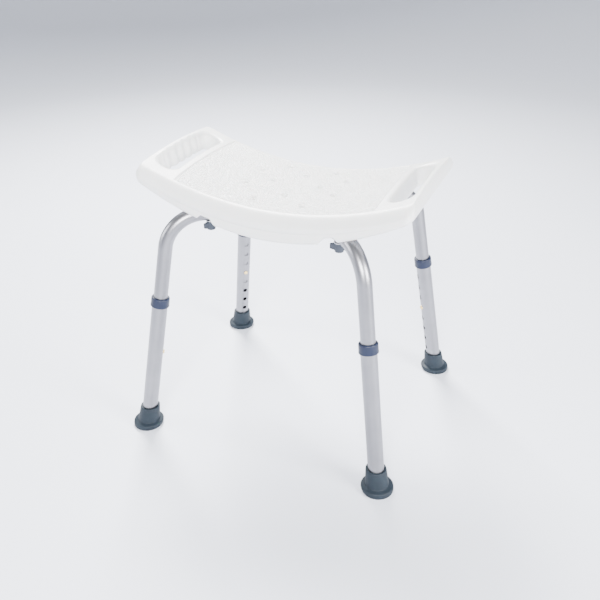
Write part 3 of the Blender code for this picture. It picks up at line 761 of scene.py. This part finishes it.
def slot_ring(lip, height):
    """A rounded slot, widened by the lip's share. Cosine waves push its outer wall out for the fingers."""
    half_x = SLOT_WIDTH / 2 + lip * (LIP_INSIDE + LIP_OUTSIDE) / 2
    half_y = SLOT_LENGTH / 2 + lip * LIP_ENDS
    flat = outline(half_y, half_x, half_x * 0.9, long=90, short=4, corner=14)
    x, y = flat[:, 1], -flat[:, 0]
    ends = np.clip(4 * (FINGERS * FINGER_PITCH / 2 - abs(y)) / FINGER_PITCH, 0, 1)
    wave = 0.5 - 0.5 * np.cos(math.tau * (y / FINGER_PITCH + 0.5 * (FINGERS + 1)))
    x = np.where(x > half_x * 0.99, x + FINGER_DEPTH * wave * ends, x)
    x = x + SLOT_X - lip * (LIP_INSIDE - LIP_OUTSIDE) / 2
    return np.column_stack([x, y, height(x, y)])


def slot_cutter(side):
    """A slot's solid: walls that draw in downwards between two lips, each of which widens as a quarter
    circle to its surface."""
    rings = [slot_ring(1, lambda x, y: 0 * x + SLOT_LOW)]
    for share in np.linspace(1, 0, 9):
        lip = -SLOT_TAPER + (1 + SLOT_TAPER) * (1 - math.sqrt(1 - share**2))
        rings.append(slot_ring(lip, rim_plus(LOWER_LIP * (1 - share) + 0.0001 * share)))
    for share in np.linspace(0, 1, 12):
        lip = 1 - math.sqrt(1 - share**2)
        rings.append(slot_ring(lip, top_less(LIP_DEPTH * (1 - share) + 0.0001 * share)))
    rings.append(slot_ring(1, top_less(-0.012)))
    rings = np.array(rings)
    caps = rings[[0, -1]]
    caps[:, :, 0] = SLOT_X
    caps[:, :, 1] = np.clip(caps[:, :, 1], -0.06, 0.06)
    caps[1, :, 2] = rings[-1, :, 2].max()
    return mirrored(capped_mesh(rings, caps), side, 1)


def mirrored(mesh, side_x, side_y):
    """A mesh with x and y each kept or mirrored, by 1 or -1, and its faces still turned outwards."""
    copy = placed(mesh, Matrix.Diagonal((side_x, side_y, 1, 1)))
    if side_x * side_y < 0:
        copy.flip_normals()
    return copy


slots = [slot_cutter(side) for side in (-1, 1)]
print("slot cutter faces:", len(slots[0].polygons))

# %% Notch cutters
NOTCH_X, NOTCH_WIDTH, NOTCH_TOP_WIDTH = 0.110, 0.040, 0.014
NOTCH_DEPTH = 0.010
NOTCH_ROUND = 0.005


def notch_cutter(side_x, side_y):
    """A block under the rim whose ceiling is a smooth step up in x, and rises near the wall's two faces."""
    x = np.linspace(-0.5, 0.5, 41) * (NOTCH_WIDTH + 0.004)
    outer, inner = SEAT_DEPTH / 2, SEAT_DEPTH / 2 - SKIRT_WIDTH
    y = np.linspace(inner - 0.004, outer + 0.004, 45)
    step = np.clip((NOTCH_WIDTH / 2 - abs(x)) / ((NOTCH_WIDTH - NOTCH_TOP_WIDTH) / 2), 0, 1)
    step = step**2 * (3 - 2 * step)
    depth_in = np.clip(np.minimum(outer - y, y - inner) / NOTCH_ROUND, 0, 1)
    flare = NOTCH_ROUND * (1 - np.sqrt(1 - (1 - depth_in) ** 2))
    grid_x, grid_y = np.meshgrid(x + NOTCH_X, y, indexing="ij")
    ceiling = rim_bottom(grid_x) - 0.0005 + step[:, None] * (NOTCH_DEPTH + flare[None, :])
    floor = np.full_like(ceiling, rim_bottom(NOTCH_X) - 0.02)
    upper = np.stack([grid_x, grid_y, ceiling], -1)
    lower = np.stack([grid_x, grid_y, floor], -1)[:, ::-1]
    grid = np.concatenate([upper, lower], axis=1)
    ends = grid[[0, -1]]
    ends[:, :, 1] = (inner + outer) / 2
    ends[:, :, 2] = rim_bottom(NOTCH_X) - 0.01
    return mirrored(capped_mesh(grid, ends), side_x, side_y)


notches = [notch_cutter(side_x, side_y) for side_x in (-1, 1) for side_y in (-1, 1)]
print("notch cutter faces:", len(notches[0].polygons))

# %% [markdown]
# A round boss stands over each knob and holds a brass insert in a blind pocket. The bosses are added to
# the seat, and then everything else is cut from it in one step.

# %% Bosses, pockets and the finished seat shape
BOSS_R = 0.012
tube_top = bottom_of("seat_insert_fl") - 0.0006
boss_top = seat_top(*middle("knob_washer_fl")[:2]) - PANEL_THICKNESS / 2
boss = turned([
    (0, boss_top, 0),
    (BOSS_R + 0.0008, boss_top, 0),
    (BOSS_R, tube_top + 0.0003, 0.0008),
    (0, tube_top + 0.0003, 0),
])
insert_r = np.ptp([end[0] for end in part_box("seat_insert_fl")]) / 2
pocket = cutter(insert_r + 0.0003, tube_top - 0.001, top_of("seat_insert_fl") + 0.004, 48)
seat_mesh = combined(seat_body, [at_knob(boss, corner) for corner in CORNERS], "UNION")
pockets = [at_knob(pocket, corner) for corner in CORNERS]
seat_mesh = combined(seat_mesh, drains + slots + notches + pockets, "DIFFERENCE")
print("seat:", len(seat_mesh.polygons), "faces")

# %% [markdown]
# ## The seat's finish
#
# The seat is satin white, with a non-slip panel of small pebbles. The pebbles are rounded cells, made
# as bump only inside the panel. The mask is worked out from the point's place: how far it is inside
# the panel's rectangle.

# %% Seat material
MASK_FADE = 0.002  # over this width the pebbles fade in
MASK_DROP = 0.010  # this far under the seat's lowest top there are none


def panel_mask(tree, place):
    """1 inside the panel and 0 outside it: the smaller of the gaps to its sides, scaled and clamped."""
    parts = add_node(tree, "ShaderNodeSeparateXYZ", Vector=place).outputs
    gap_x = math_node(tree, "SUBTRACT", PANEL_LENGTH / 2, math_node(tree, "ABSOLUTE", parts[0]))
    gap_y = math_node(tree, "SUBTRACT", PANEL_DEPTH / 2, math_node(tree, "ABSOLUTE", parts[1]))
    gap = math_node(tree, "MINIMUM", gap_x, gap_y)
    inside = math_node(tree, "MULTIPLY", gap, 1 / MASK_FADE, clamp=True)
    above = math_node(tree, "GREATER_THAN", parts[2], SEAT_TOP - MASK_DROP)
    return math_node(tree, "MULTIPLY", inside, above)


def make_seat_finish():
    made, tree, shader = new_material("seat_plastic", Subsurface_Weight=0.06, Subsurface_Scale=0.003)
    place = tree.nodes.new("ShaderNodeTexCoord").outputs["Object"]
    texture = use_group(tree, grain_group, place, Grain_Size=0.0009, Wave_Size=0.03)
    cells = add_node(tree, "ShaderNodeTexVoronoi", Vector=place, Scale=1 / 0.0030, Randomness=1.0)
    cells.feature = "SMOOTH_F1"
    cells.inputs["Smoothness"].default_value = 0.6
    pebbles = math_node(tree, "MULTIPLY", cells.outputs["Distance"], panel_mask(tree, place))
    fine = math_node(tree, "MULTIPLY", texture.outputs["Height"], 0.12)
    height = math_node(tree, "SUBTRACT", fine, pebbles)
    bumped(tree, shader, height, 0.0022)
    tone = between(tree, texture.outputs["Tone"], (0.74, 0.74, 0.73), (0.77, 0.77, 0.76))
    tree.links.new(tone, shader.inputs["Base Color"])
    tree.links.new(ranged(tree, texture.outputs["Tone"], 0.30, 0.42), shader.inputs["Roughness"])
    return made


seat_finish = make_seat_finish()
add_piece("moulded_seat", seat_mesh, seat_finish, "frame", "seat", sharp=50)

# %% [markdown]
# # The bent tubes
#
# Each tube is one sweep: a ring carried along a path that goes up a leg, round a bend and level to the
# middle, where it is pressed flat so that the two can cross. Half of the path is worked out and then
# mirrored. The ring is a circle, squeezed into a slot shape by a share that rises smoothly to 1.

# %% Tube path
UPPER_R, TUBE_WALL = 0.0125, 0.0012
FRAME_HEIGHT = 0.4195
BEND_R = 0.066
CROSS_FLAT, CROSS_TAPER = 0.024, 0.034
CROSS_THICKNESS = 0.0122
BUTTON_AT = 0.1612  # along the leg, from the floor
TUBE_TAIL = 0.038
HOLE_R = 0.0045
STUD_HOLE_R = 0.0035
drill = placed(cutter(HOLE_R, 0.006, 0.02), Matrix.Rotation(math.pi / 2, 4, "Y"))


def tube_path():
    """Rows of distance out, height, turn and length along, from the leg's lower end to the middle."""
    bend_z = FRAME_HEIGHT - BEND_R
    bend_out = LEG_SPREAD - bend_z * math.tan(LEG_SPLAY) - BEND_R / math.cos(LEG_SPLAY)
    start = BUTTON_AT - TUBE_TAIL
    bend_start = (bend_z + BEND_R * math.sin(LEG_SPLAY)) / math.cos(LEG_SPLAY)
    along = np.linspace(start, bend_start, 60)
    height = along * math.cos(LEG_SPLAY)
    leg = np.column_stack([LEG_SPREAD - height * math.tan(LEG_SPLAY), height, 0 * along + LEG_SPLAY])
    turn = np.linspace(LEG_SPLAY, math.pi / 2, 40)[1:]
    bend = np.column_stack([bend_out + BEND_R * np.cos(turn), bend_z + BEND_R * np.sin(turn), turn])
    out = np.concatenate([np.linspace(bend_out, CROSS_FLAT + CROSS_TAPER, 28)[1:],
                          np.linspace(CROSS_FLAT + CROSS_TAPER, CROSS_FLAT, 24)[1:],
                          np.linspace(CROSS_FLAT, 0, 8)[1:]])
    level = np.column_stack([out, 0 * out + FRAME_HEIGHT, 0 * out + math.pi / 2])
    path = np.concatenate([leg, bend, level])
    steps = np.linalg.norm(np.diff(path[:, :2], axis=0), axis=1)
    return np.column_stack([path, start + np.concatenate([[0], np.cumsum(steps)])])


print("path points:", len(tube_path()), "length of half a tube:", round(tube_path()[-1, 3], 3))

# %% Tube skins
def tube_skin(radius, shift, around=56):
    """Rings along the whole path. In the crossing the circle is squeezed to a slot with the same edge
    length, and moved up or down so that one tube rests on the other."""
    out, height, turn, _ = tube_path().T[:, :, None]
    share = np.clip((CROSS_FLAT + CROSS_TAPER - out) / CROSS_TAPER, 0, 1)
    share = share**2 * (3 - 2 * share)
    squeeze = UPPER_R - CROSS_THICKNESS / 2
    half_t = radius - squeeze * share
    half_w = radius + squeeze * (math.pi / 2 - 1) * share
    angle = (np.arange(around) + 0.5) * math.tau / around
    across = (half_w - half_t) * np.tanh(4 * np.cos(angle)) + half_t * np.cos(angle)
    upward = half_t * np.sin(angle) + shift * squeeze * share
    half = np.stack([out + upward * np.cos(turn), across, height + upward * np.sin(turn)], -1)
    return np.concatenate([half, half[-2::-1] * (-1, 1, 1)])


def tube_holes():
    """Cutters for the studs, the crossing bolt and the two buttons."""
    upright = cutter(STUD_HOLE_R, FRAME_HEIGHT - 0.02, FRAME_HEIGHT + 0.02)
    knob_out = np.linalg.norm(middle("knob_washer_fr")[:2])
    holes = [upright] + [placed(upright, Matrix.Translation((s * knob_out, 0, 0))) for s in (-1, 1)]
    in_leg = raised(drill, BUTTON_AT)
    lean = Matrix.Translation((-LEG_SPREAD, 0, 0)) @ Matrix.Rotation(LEG_SPLAY, 4, "Y")
    return holes + [placed(in_leg, Matrix.Rotation(half, 4, "Z") @ lean) for half in (0, math.pi)]


def tube_coordinates(points):
    """Coordinates that follow a tube lying in the XZ plane: two across it, and one along it."""
    path = tube_path()
    out = abs(points[:, 0])
    apart = (out[:, None] - path[None, :, 0]) ** 2 + (points[:, 2][:, None] - path[None, :, 1]) ** 2
    near = path[apart.argmin(axis=1)]
    normal = (out - near[:, 0]) * np.cos(near[:, 2]) + (points[:, 2] - near[:, 1]) * np.sin(near[:, 2])
    tangent = (near[:, 0] - out) * np.sin(near[:, 2]) + (points[:, 2] - near[:, 1]) * np.cos(near[:, 2])
    along = (near[:, 3] + tangent) * np.sign(points[:, 0] + 1e-9)
    return np.column_stack([points[:, 1], normal, along])


def set_coordinates(mesh, values):
    """Stores the tube coordinates on a mesh, for its material."""
    attribute = mesh.attributes.new(TUBE_ATTRIBUTE, "FLOAT_VECTOR", "POINT")
    attribute.data.foreach_set("vector", values.astype(np.float32).ravel())


def add_bent_tube(which, shift, azimuth):
    skins = np.concatenate([tube_skin(UPPER_R, shift), tube_skin(UPPER_R - TUBE_WALL, shift)[::-1]])
    mesh = combined(closed_mesh(skins, wrap_rows=True), tube_holes(), "DIFFERENCE")
    set_coordinates(mesh, tube_coordinates(points_of(mesh)))
    mesh.transform(Matrix.Rotation(azimuth, 4, "Z"))
    node = f"frame_tube_{which}"
    add_piece(f"bent_tube_{which}", mesh, aluminium_finish, "frame", node)


add_bent_tube("upper", 1, LEG_AZIMUTH)
add_bent_tube("lower", -1, -LEG_AZIMUTH)

# %% [markdown]
# # The telescopic legs
#
# A lower tube is the simplest sweep of all: two circles, one inside the other, carried up a straight
# line. Its ends are slightly rounded, and eight holes are cut in the wall that faces the middle.

# %% Lower tubes
LOWER_R = 0.014
LOWER_START, LOWER_END = 0.013, 0.272
HOLE_PITCH = 0.025
holes_at = BUTTON_AT + HOLE_PITCH * np.arange(-4, 4)


def lower_tube():
    """Two walls round Z joined at their ends, with rows close enough for clean holes."""
    soft = 0.0004
    up = np.linspace(LOWER_START + soft, LOWER_END - soft, 66)
    inner = LOWER_R - TUBE_WALL
    outside = [(LOWER_R, z) for z in up[::-1]]
    inside = [(inner, z) for z in up]
    ends = ([(inner + soft, LOWER_END), (LOWER_R - soft, LOWER_END)],
            [(LOWER_R - soft, LOWER_START), (inner + soft, LOWER_START)])
    profile = [(r, z, 0) for r, z in ends[0] + outside + ends[1] + inside]
    tube = turned(profile, 64, ring=True)
    return combined(tube, [raised(drill, z) for z in holes_at], "DIFFERENCE")


leg_tube = lower_tube()
set_coordinates(leg_tube, points_of(leg_tube))
add_at_corners("leg_tube_{}", leg_tube, on_leg, aluminium_finish, "leg_{}", "lower_leg_{}")

# %% [markdown]
# ## Collars
#
# A collar is pushed over the top of each lower tube, and its lip guides the upper tube. It is a turned
# piece: a profile spun round the leg's axis. Soft corners give it the bright line at its top edge.

# %% Collars
FIT = 0.0003  # gap between two pieces that fit together
COLLAR_TOP = LOWER_END + FIT + 0.0036
COLLAR_LOW = COLLAR_TOP - 0.0176
collar = turned([
    (0.01292, COLLAR_TOP, 0.0004),
    (0.01480, COLLAR_TOP, 0.0010),
    (0.01640, COLLAR_TOP - 0.0016, 0.0014),
    (0.01645, COLLAR_LOW + 0.0042, 0.003),
    (0.01685, COLLAR_LOW + 0.0012, 0.0008),
    (0.01650, COLLAR_LOW, 0.0004),
    (0.01416, COLLAR_LOW, 0.0003),
    (0.01416, LOWER_END + FIT, 0),
    (0.01292, LOWER_END + FIT, 0),
], 72, ring=True)
add_at_corners("collar_{}", collar, on_leg, collar_finish, "leg_{}", "leg_collar_{}")

# %% [markdown]
# ## Feet
#
# A rubber foot has a socket that grips the leg, a neck that widens downwards, and a thick flange that
# stands flat on the floor though its leg leans. It is turned upright and then sheared: each point moves
# sideways by its height times the leg's slope, so the rim stays level and the socket follows the leg.

# %% Feet
FOOT_HEIGHT = top_of("rubber_foot_fl")
SOCKET_R, SOCKET_FLOOR = 0.01472, 0.008
SLOPE = math.tan(LEG_SPLAY)
foot = turned([
    (0, SOCKET_FLOOR, 0),
    (SOCKET_R, SOCKET_FLOOR, 0.0006),
    (SOCKET_R, FOOT_HEIGHT, 0.0004),
    (0.01795, FOOT_HEIGHT, 0.0013),
    (0.02060, 0.0122, 0.0012),
    (0.02600, 0.0103, 0.0016),
    (0.02835, 0.0090, 0.0022),
    (0.02830, 0.0040, 0.0016),
    (0.02720, 0.0000, 0.0010),
    (0.01950, 0.0000, 0.0010),
    (0.01750, 0.0022, 0.0008),
    (0.01150, 0.0022, 0.0008),
    (0.01050, 0.0012, 0.0006),
    (0.00850, 0.0012, 0.0006),
    (0.00750, 0.0022, 0.0008),
    (0, 0.0022, 0),
], 88)
lean = Matrix.Identity(4)
lean[0][2] = SLOPE
foot.transform(lean)
disc_low, disc_high = bottom_of("foot_washer_fl"), top_of("foot_washer_fl")
disc = turned([
    (0.004, disc_high, 0.0003),
    (0.0134, disc_high, 0.0004),
    (0.0134, disc_low, 0.0004),
    (0.004, disc_low, 0.0003),
], 64, ring=True)
disc.transform(Matrix.Translation((SOCKET_FLOOR * SLOPE, 0, 0)))
add_at_corners("foot_{}", foot, at_foot, rubber_finish, "leg_{}", "rubber_foot_{}", sharp=60)
add_at_corners("foot_disc_{}", disc, at_foot, steel_finish, "leg_{}", "foot_washer_{}")

# %% [markdown]
# ## Snap buttons and their springs
#
# The button is a turned pin with a domed head and a flange that keeps it in the tube. Behind it, a strip
# of spring steel is bent into a V: one arm pushes the button out, and the other leans on the far wall. When
# the button is pressed, the V closes.

# %% Buttons
BUTTON_R = 0.0042
BUTTON_TIP = LOWER_R + 0.0028
FLANGE_R = 0.0054
BORE_R = UPPER_R - TUBE_WALL
flange_top = math.sqrt(BORE_R**2 - FLANGE_R**2) - 0.0012
flange_back = flange_top - 0.0010
dome = [
    (BUTTON_R * math.sin(turn), BUTTON_TIP - 0.0022 * (1 - math.cos(turn)), 0)
    for turn in np.linspace(0, math.pi / 2, 12)
]
button = turned([
    *dome,
    (BUTTON_R, flange_top, 0),
    (FLANGE_R, flange_top, 0.0002),
    (FLANGE_R, flange_back, 0.0002),
    (0, flange_back, 0),
], 48)
button.transform(Matrix.Translation((0, 0, BUTTON_AT)) @ Matrix.Rotation(math.pi / 2, 4, "Y"))
add_at_corners("button_{}", button, on_leg, brass_finish, "button_{}", "snap_button_{}")

# %% Springs
STRIP_T, STRIP_WIDTH = 0.0006, 0.008
arm_front = flange_back - FIT - STRIP_T / 2
arm_back = -(math.sqrt(BORE_R**2 - (STRIP_WIDTH / 2) ** 2) - 0.0006 - STRIP_T / 2)


def strip_mesh(corners):
    """A strip along a softened path in the XZ plane: each point moves half the thickness each way along
    the path's normal, and half the width each way along Y."""
    path = softened(corners)
    tangent = np.gradient(path, axis=0)
    tangent /= np.linalg.norm(tangent, axis=1, keepdims=True)
    normal = np.column_stack([-tangent[:, 1], tangent[:, 0]])
    rows = []
    for side, edge in ((1, -1), (1, 1), (-1, 1), (-1, -1)):
        spot = path + normal * side * STRIP_T / 2
        rows.append(np.column_stack([spot[:, 0], 0 * spot[:, 0] + edge * STRIP_WIDTH / 2, spot[:, 1]]))
    grid = np.stack(rows, axis=1)
    caps = grid[[0, -1]].mean(axis=1, keepdims=True).repeat(4, axis=1)
    return capped_mesh(grid, caps)


spring = strip_mesh([
    (arm_front, -0.0095, 0),
    (arm_front, 0.0095, 0.004),
    ((arm_front + arm_back) / 2 + 0.003, 0.0370, 0.003),
    ((arm_front + arm_back) / 2 - 0.003, 0.0370, 0.003),
    (arm_back, 0.0095, 0.004),
    (arm_back, -0.0133, 0),
])
spring.transform(Matrix.Translation((0, 0, BUTTON_AT)))
springs = add_at_corners(
    "leaf_spring_{}", spring, on_leg, steel_finish, "frame", "button_spring_{}"
)
for corner, item in springs.items():
    axes = leg_axes(corner)
    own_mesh(item)

# %% [markdown]
# # The knobs under the seat
#
# A knob is a round hub that grows two wings, so that it can be turned by hand. In each level slice its
# outline is the larger of a circle and a bar, written as a radius for every angle. A smooth maximum
# leaves a fillet where the wings leave the hub, and the slices shrink a little at the top and bottom.

# %% Wing knobs
HUB_R = 0.0075
WING_REACH, WING_T, WING_DEPTH = 0.0155, 0.0065, 0.0125
KNOB_DEPTH = top_of("wing_knob_fl") - bottom_of("wing_knob_fl")
KNOB_TURNS = {"fl": 72, "fr": 12, "bl": -35, "br": 50}  # degrees
knob_top = top_of("wing_knob_fl")


def smooth_step(value, start, end):
    """0 before start, 1 after end, and 3t^2 - 2t^3 between them."""
    t = np.clip((value - start) / (end - start), 0, 1)
    return t**2 * (3 - 2 * t)


def rounded_bar(angle, reach, half_t):
    """Radius of a bar with rounded ends: its two flat sides and two ends, joined by a sixth power mean."""
    flat = np.abs(np.sin(angle)) / half_t
    end = np.abs(np.cos(angle)) / reach
    return (flat**6 + end**6) ** (-1 / 6)


def knob_mesh():
    """Slices from the top down. The wings grow out below the top and draw in again below their depth,
    and the hub goes on to the bottom."""
    angle = full_turn(144)
    depth = np.linspace(0, KNOB_DEPTH, 60)
    edge = np.clip(np.minimum(depth, KNOB_DEPTH - depth) / 0.0015, 0, 1)
    shrink = 0.0010 * (1 - np.sqrt(1 - (1 - edge) ** 2))
    wing = smooth_step(depth, 0.0008, 0.0030)
    wing = wing * (1 - smooth_step(depth, WING_DEPTH - 0.002, WING_DEPTH + 0.001))
    reach = HUB_R * 0.6 + (WING_REACH - HUB_R * 0.6) * wing[:, None]
    bar = rounded_bar(angle[None, :], reach, WING_T / 2)
    circle = np.full_like(bar, HUB_R)
    radius = (bar**10 + circle**10) ** (1 / 10) - shrink[:, None]
    grid = round_grid(radius, angle, -depth[:, None])
    whole = capped_mesh(grid, grid[[0, -1]] * (0, 0, 1))
    return combined(whole, [cutter(0.0032, -0.0093, 0.003)], "DIFFERENCE")


def turned_at_knob(mesh, corner):
    turn = Matrix.Rotation(math.radians(KNOB_TURNS[corner]), 4, "Z")
    return at_knob(placed(mesh, Matrix.Translation((0, 0, knob_top)) @ turn), corner)


knob = knob_mesh()
add_at_corners("knob_{}", knob, turned_at_knob, knob_finish, "knob_{}", "wing_knob_{}")

# %% [markdown]
# ## Threads
#
# The stud of a knob shows when it is unscrewed, so its thread is modelled. The surface is a rod whose
# radius depends on the height and the angle together: a wave that climbs one pitch in each turn.

# %% Studs, washers and inserts
PITCH, THREAD_DEPTH = 0.0010, 0.00055


def thread_mesh(radius, low, high, around=40, per_pitch=6):
    """Radius = r - depth x (1 + cos(2 pi (z / pitch - angle / 2 pi))) / 2, tapered at both ends."""
    rows = int((high - low) / PITCH * per_pitch)
    height = np.linspace(low, high, rows)[:, None]
    angle = full_turn(around)
    wave = (1 + np.cos(math.tau * height / PITCH - angle)) / 2
    taper = np.clip(np.minimum(height - low, high - height) / 0.0008, 0, 1)
    r = radius - THREAD_DEPTH * wave - 0.0008 * (1 - taper)
    grid = round_grid(r, angle, height)
    return capped_mesh(grid, grid[[0, -1]] * (0, 0, 1))


def ring_mesh(node, inner, soft=0.0003):
    """A flat ring with softened edges, as high and as wide as a CAD node."""
    low, high = bottom_of(node), top_of(node)
    outer = np.ptp([end[0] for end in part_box(node)]) / 2
    corners = [(inner, high, soft), (outer, high, soft), (outer, low, soft), (inner, low, soft)]
    return turned(corners, 56, ring=True)


STUD_R = 0.0029
stud = thread_mesh(STUD_R, bottom_of("knob_stud_fl"), top_of("knob_stud_fl"))
washer = ring_mesh("knob_washer_fl", STUD_HOLE_R)
insert = ring_mesh("seat_insert_fl", 0.0033)
add_at_corners("stud_{}", stud, at_knob, steel_finish, "knob_{}", "knob_stud_{}")
add_at_corners("washer_{}", washer, at_knob, steel_finish, "washer_{}", "knob_washer_{}")
add_at_corners("insert_{}", insert, at_knob, brass_finish, "frame", "seat_insert_{}")

# %% [markdown]
# ## The crossing
#
# One bolt holds the two flattened tubes together. Its domed head is above them, and a washer and a nut
# are below. A hexagonal nut is a turned piece whose radius is that of a hexagon at every angle, and its
# corners are chamfered by a cone, which is why a real nut shows curved edges.

# %% Crossing bolt, washer and nut
head_low = FRAME_HEIGHT + UPPER_R + FIT
head_high = top_of("centre_bolt")
nut_low, nut_high = bottom_of("centre_nut"), top_of("centre_nut")
head = [
    (0.0065 * math.sin(turn), head_low + (head_high - head_low) * math.cos(turn), 0)
    for turn in np.linspace(0, math.pi / 2, 12)
]
bolt_end = bottom_of("centre_bolt")
bolt = turned([
    *head,
    (0.0029, head_low, 0),
    (0.0029, bolt_end + 0.0005, 0),
    (0.0024, bolt_end, 0),
    (0, bolt_end, 0),
], 56)
socket = turned([
    (0, head_high + 0.001, 0),
    (0.0021, head_high + 0.001, 0),
    (0.0021, head_high - 0.0022, 0),
    (0, head_high - 0.0028, 0),
], 6)


def nut_mesh(across_corners, low, high, bore):
    """Radius = the smaller of a hexagon's and a cone's that cuts its corners near the two faces."""
    angle = full_turn(144)
    flat = across_corners / 2 * math.cos(math.pi / 6)
    hexagon = flat / np.cos((angle + math.pi / 6) % (math.pi / 3) - math.pi / 6)
    height = np.linspace(low, high, 25)
    cone = flat * 0.985 + 1.8 * np.minimum(height - low, high - height)
    radius = np.minimum(hexagon[None, :], cone[:, None])
    outside = round_grid(radius, angle, height[:, None])
    inside = round_grid(bore, angle, height[[-1, 0], None])
    return closed_mesh(np.concatenate([outside, inside]), wrap_rows=True)


for part, mesh, sharp in (
    ("bolt", combined(bolt, [socket], "DIFFERENCE"), 40),
    ("washer", ring_mesh("centre_washer", 0.0035), 40),
    ("nut", nut_mesh(0.0116, nut_low, nut_high, 0.0032), 25),
):
    add_piece(f"crossing_{part}", mesh, steel_finish, "frame", f"centre_{part}", sharp)

# %% [markdown]
# # The studio
#
# The floor is a wide plain disc that curves up at its edge, so no horizon shows from any side. The light
# is soft and comes from panels overhead, at the sides and in front, which also give the tubes their
# long highlights.

# %% Floor
def floor_mesh(flat=2.6, rise=2.2):
    """A bowl: flat out to a radius, and then a quarter circle up. Its rings are far apart in the middle."""
    turn = np.linspace(0, math.pi / 2, 24)
    radius = np.concatenate([[0, 0.5, 1.2, 2.0], flat + rise * np.sin(turn)])
    height = np.concatenate([np.zeros(4), rise * (1 - np.cos(turn))])
    return closed_mesh(round_grid(radius[:, None], full_turn(96), height[:, None]))


floor_shape = floor_mesh()
floor_shape.shade_smooth()
floor_finish, floor_tree, floor_shader = new_material("studio_floor", Roughness=0.6)
floor_shader.inputs["Base Color"].default_value = (0.68, 0.705, 0.775, 1)
floor_shape.materials.append(floor_finish)
floor = bpy.data.objects.new("studio_floor", floor_shape)
bpy.context.scene.collection.objects.link(floor)

# %% Lights
def add_light(name, place, target, size, power, colour=(1, 1, 1)):
    """A square panel of light at a place, facing a target."""
    light = bpy.data.lights.new(name, "AREA")
    light.size = size
    light.energy = power
    light.color = colour
    item = bpy.data.objects.new(name, light)
    forward = np.array(target, float) - np.array(place, float)
    item.matrix_world = looking(place, forward)
    bpy.context.scene.collection.objects.link(item)


def looking(place, forward, roll=0.0):
    """A matrix at a place whose -Z looks forward and whose Y is up, turned by roll about the view."""
    forward = np.array(forward, float) / np.linalg.norm(forward)
    right = np.cross(forward, (0, 0, 1))
    right /= np.linalg.norm(right)
    up = np.cross(right, forward)
    turned_right = math.cos(roll) * right + math.sin(roll) * up
    turned_up = math.cos(roll) * up - math.sin(roll) * right
    matrix = np.identity(4)
    matrix[:3, 0], matrix[:3, 1], matrix[:3, 2], matrix[:3, 3] = turned_right, turned_up, -forward, place
    return Matrix(matrix.tolist())


STOOL_MIDDLE = (0, 0, 0.25)
add_light("overhead", (-0.9, 1.2, 1.9), STOOL_MIDDLE, 0.8, 250)
add_light("left_panel", (-2.0, -0.8, 1.0), STOOL_MIDDLE, 0.9, 35, (0.97, 0.985, 1.0))
add_light("right_panel", (2.1, -0.5, 1.1), STOOL_MIDDLE, 0.9, 120)
add_light("front_panel", (0.6, -2.1, 1.6), STOOL_MIDDLE, 0.8, 150)
world = bpy.data.worlds.new("soft_room")
world.use_nodes = True
world.node_tree.nodes["Background"].inputs["Color"].default_value = (0.86, 0.91, 1.0, 1)
world.node_tree.nodes["Background"].inputs["Strength"].default_value = 0.45
bpy.context.scene.world = world

# %% [markdown]
# ## The camera
#
# The camera looks down at the stool from the front right. Its lens is given for a sensor 36 mm wide.

# %% Camera
camera_data = bpy.data.cameras.new("camera")
camera_data.sensor_width = 36
camera_data.lens = 44.49
camera = bpy.data.objects.new("camera", camera_data)
yaw, pitch, roll = 0.4105, 0.521, -0.009
direction = (-math.sin(yaw) * math.cos(pitch), math.cos(yaw) * math.cos(pitch), -math.sin(pitch))
camera.matrix_world = looking((0.49035, -1.11658, 0.91923), direction, roll)
bpy.context.scene.collection.objects.link(camera)
bpy.context.scene.camera = camera
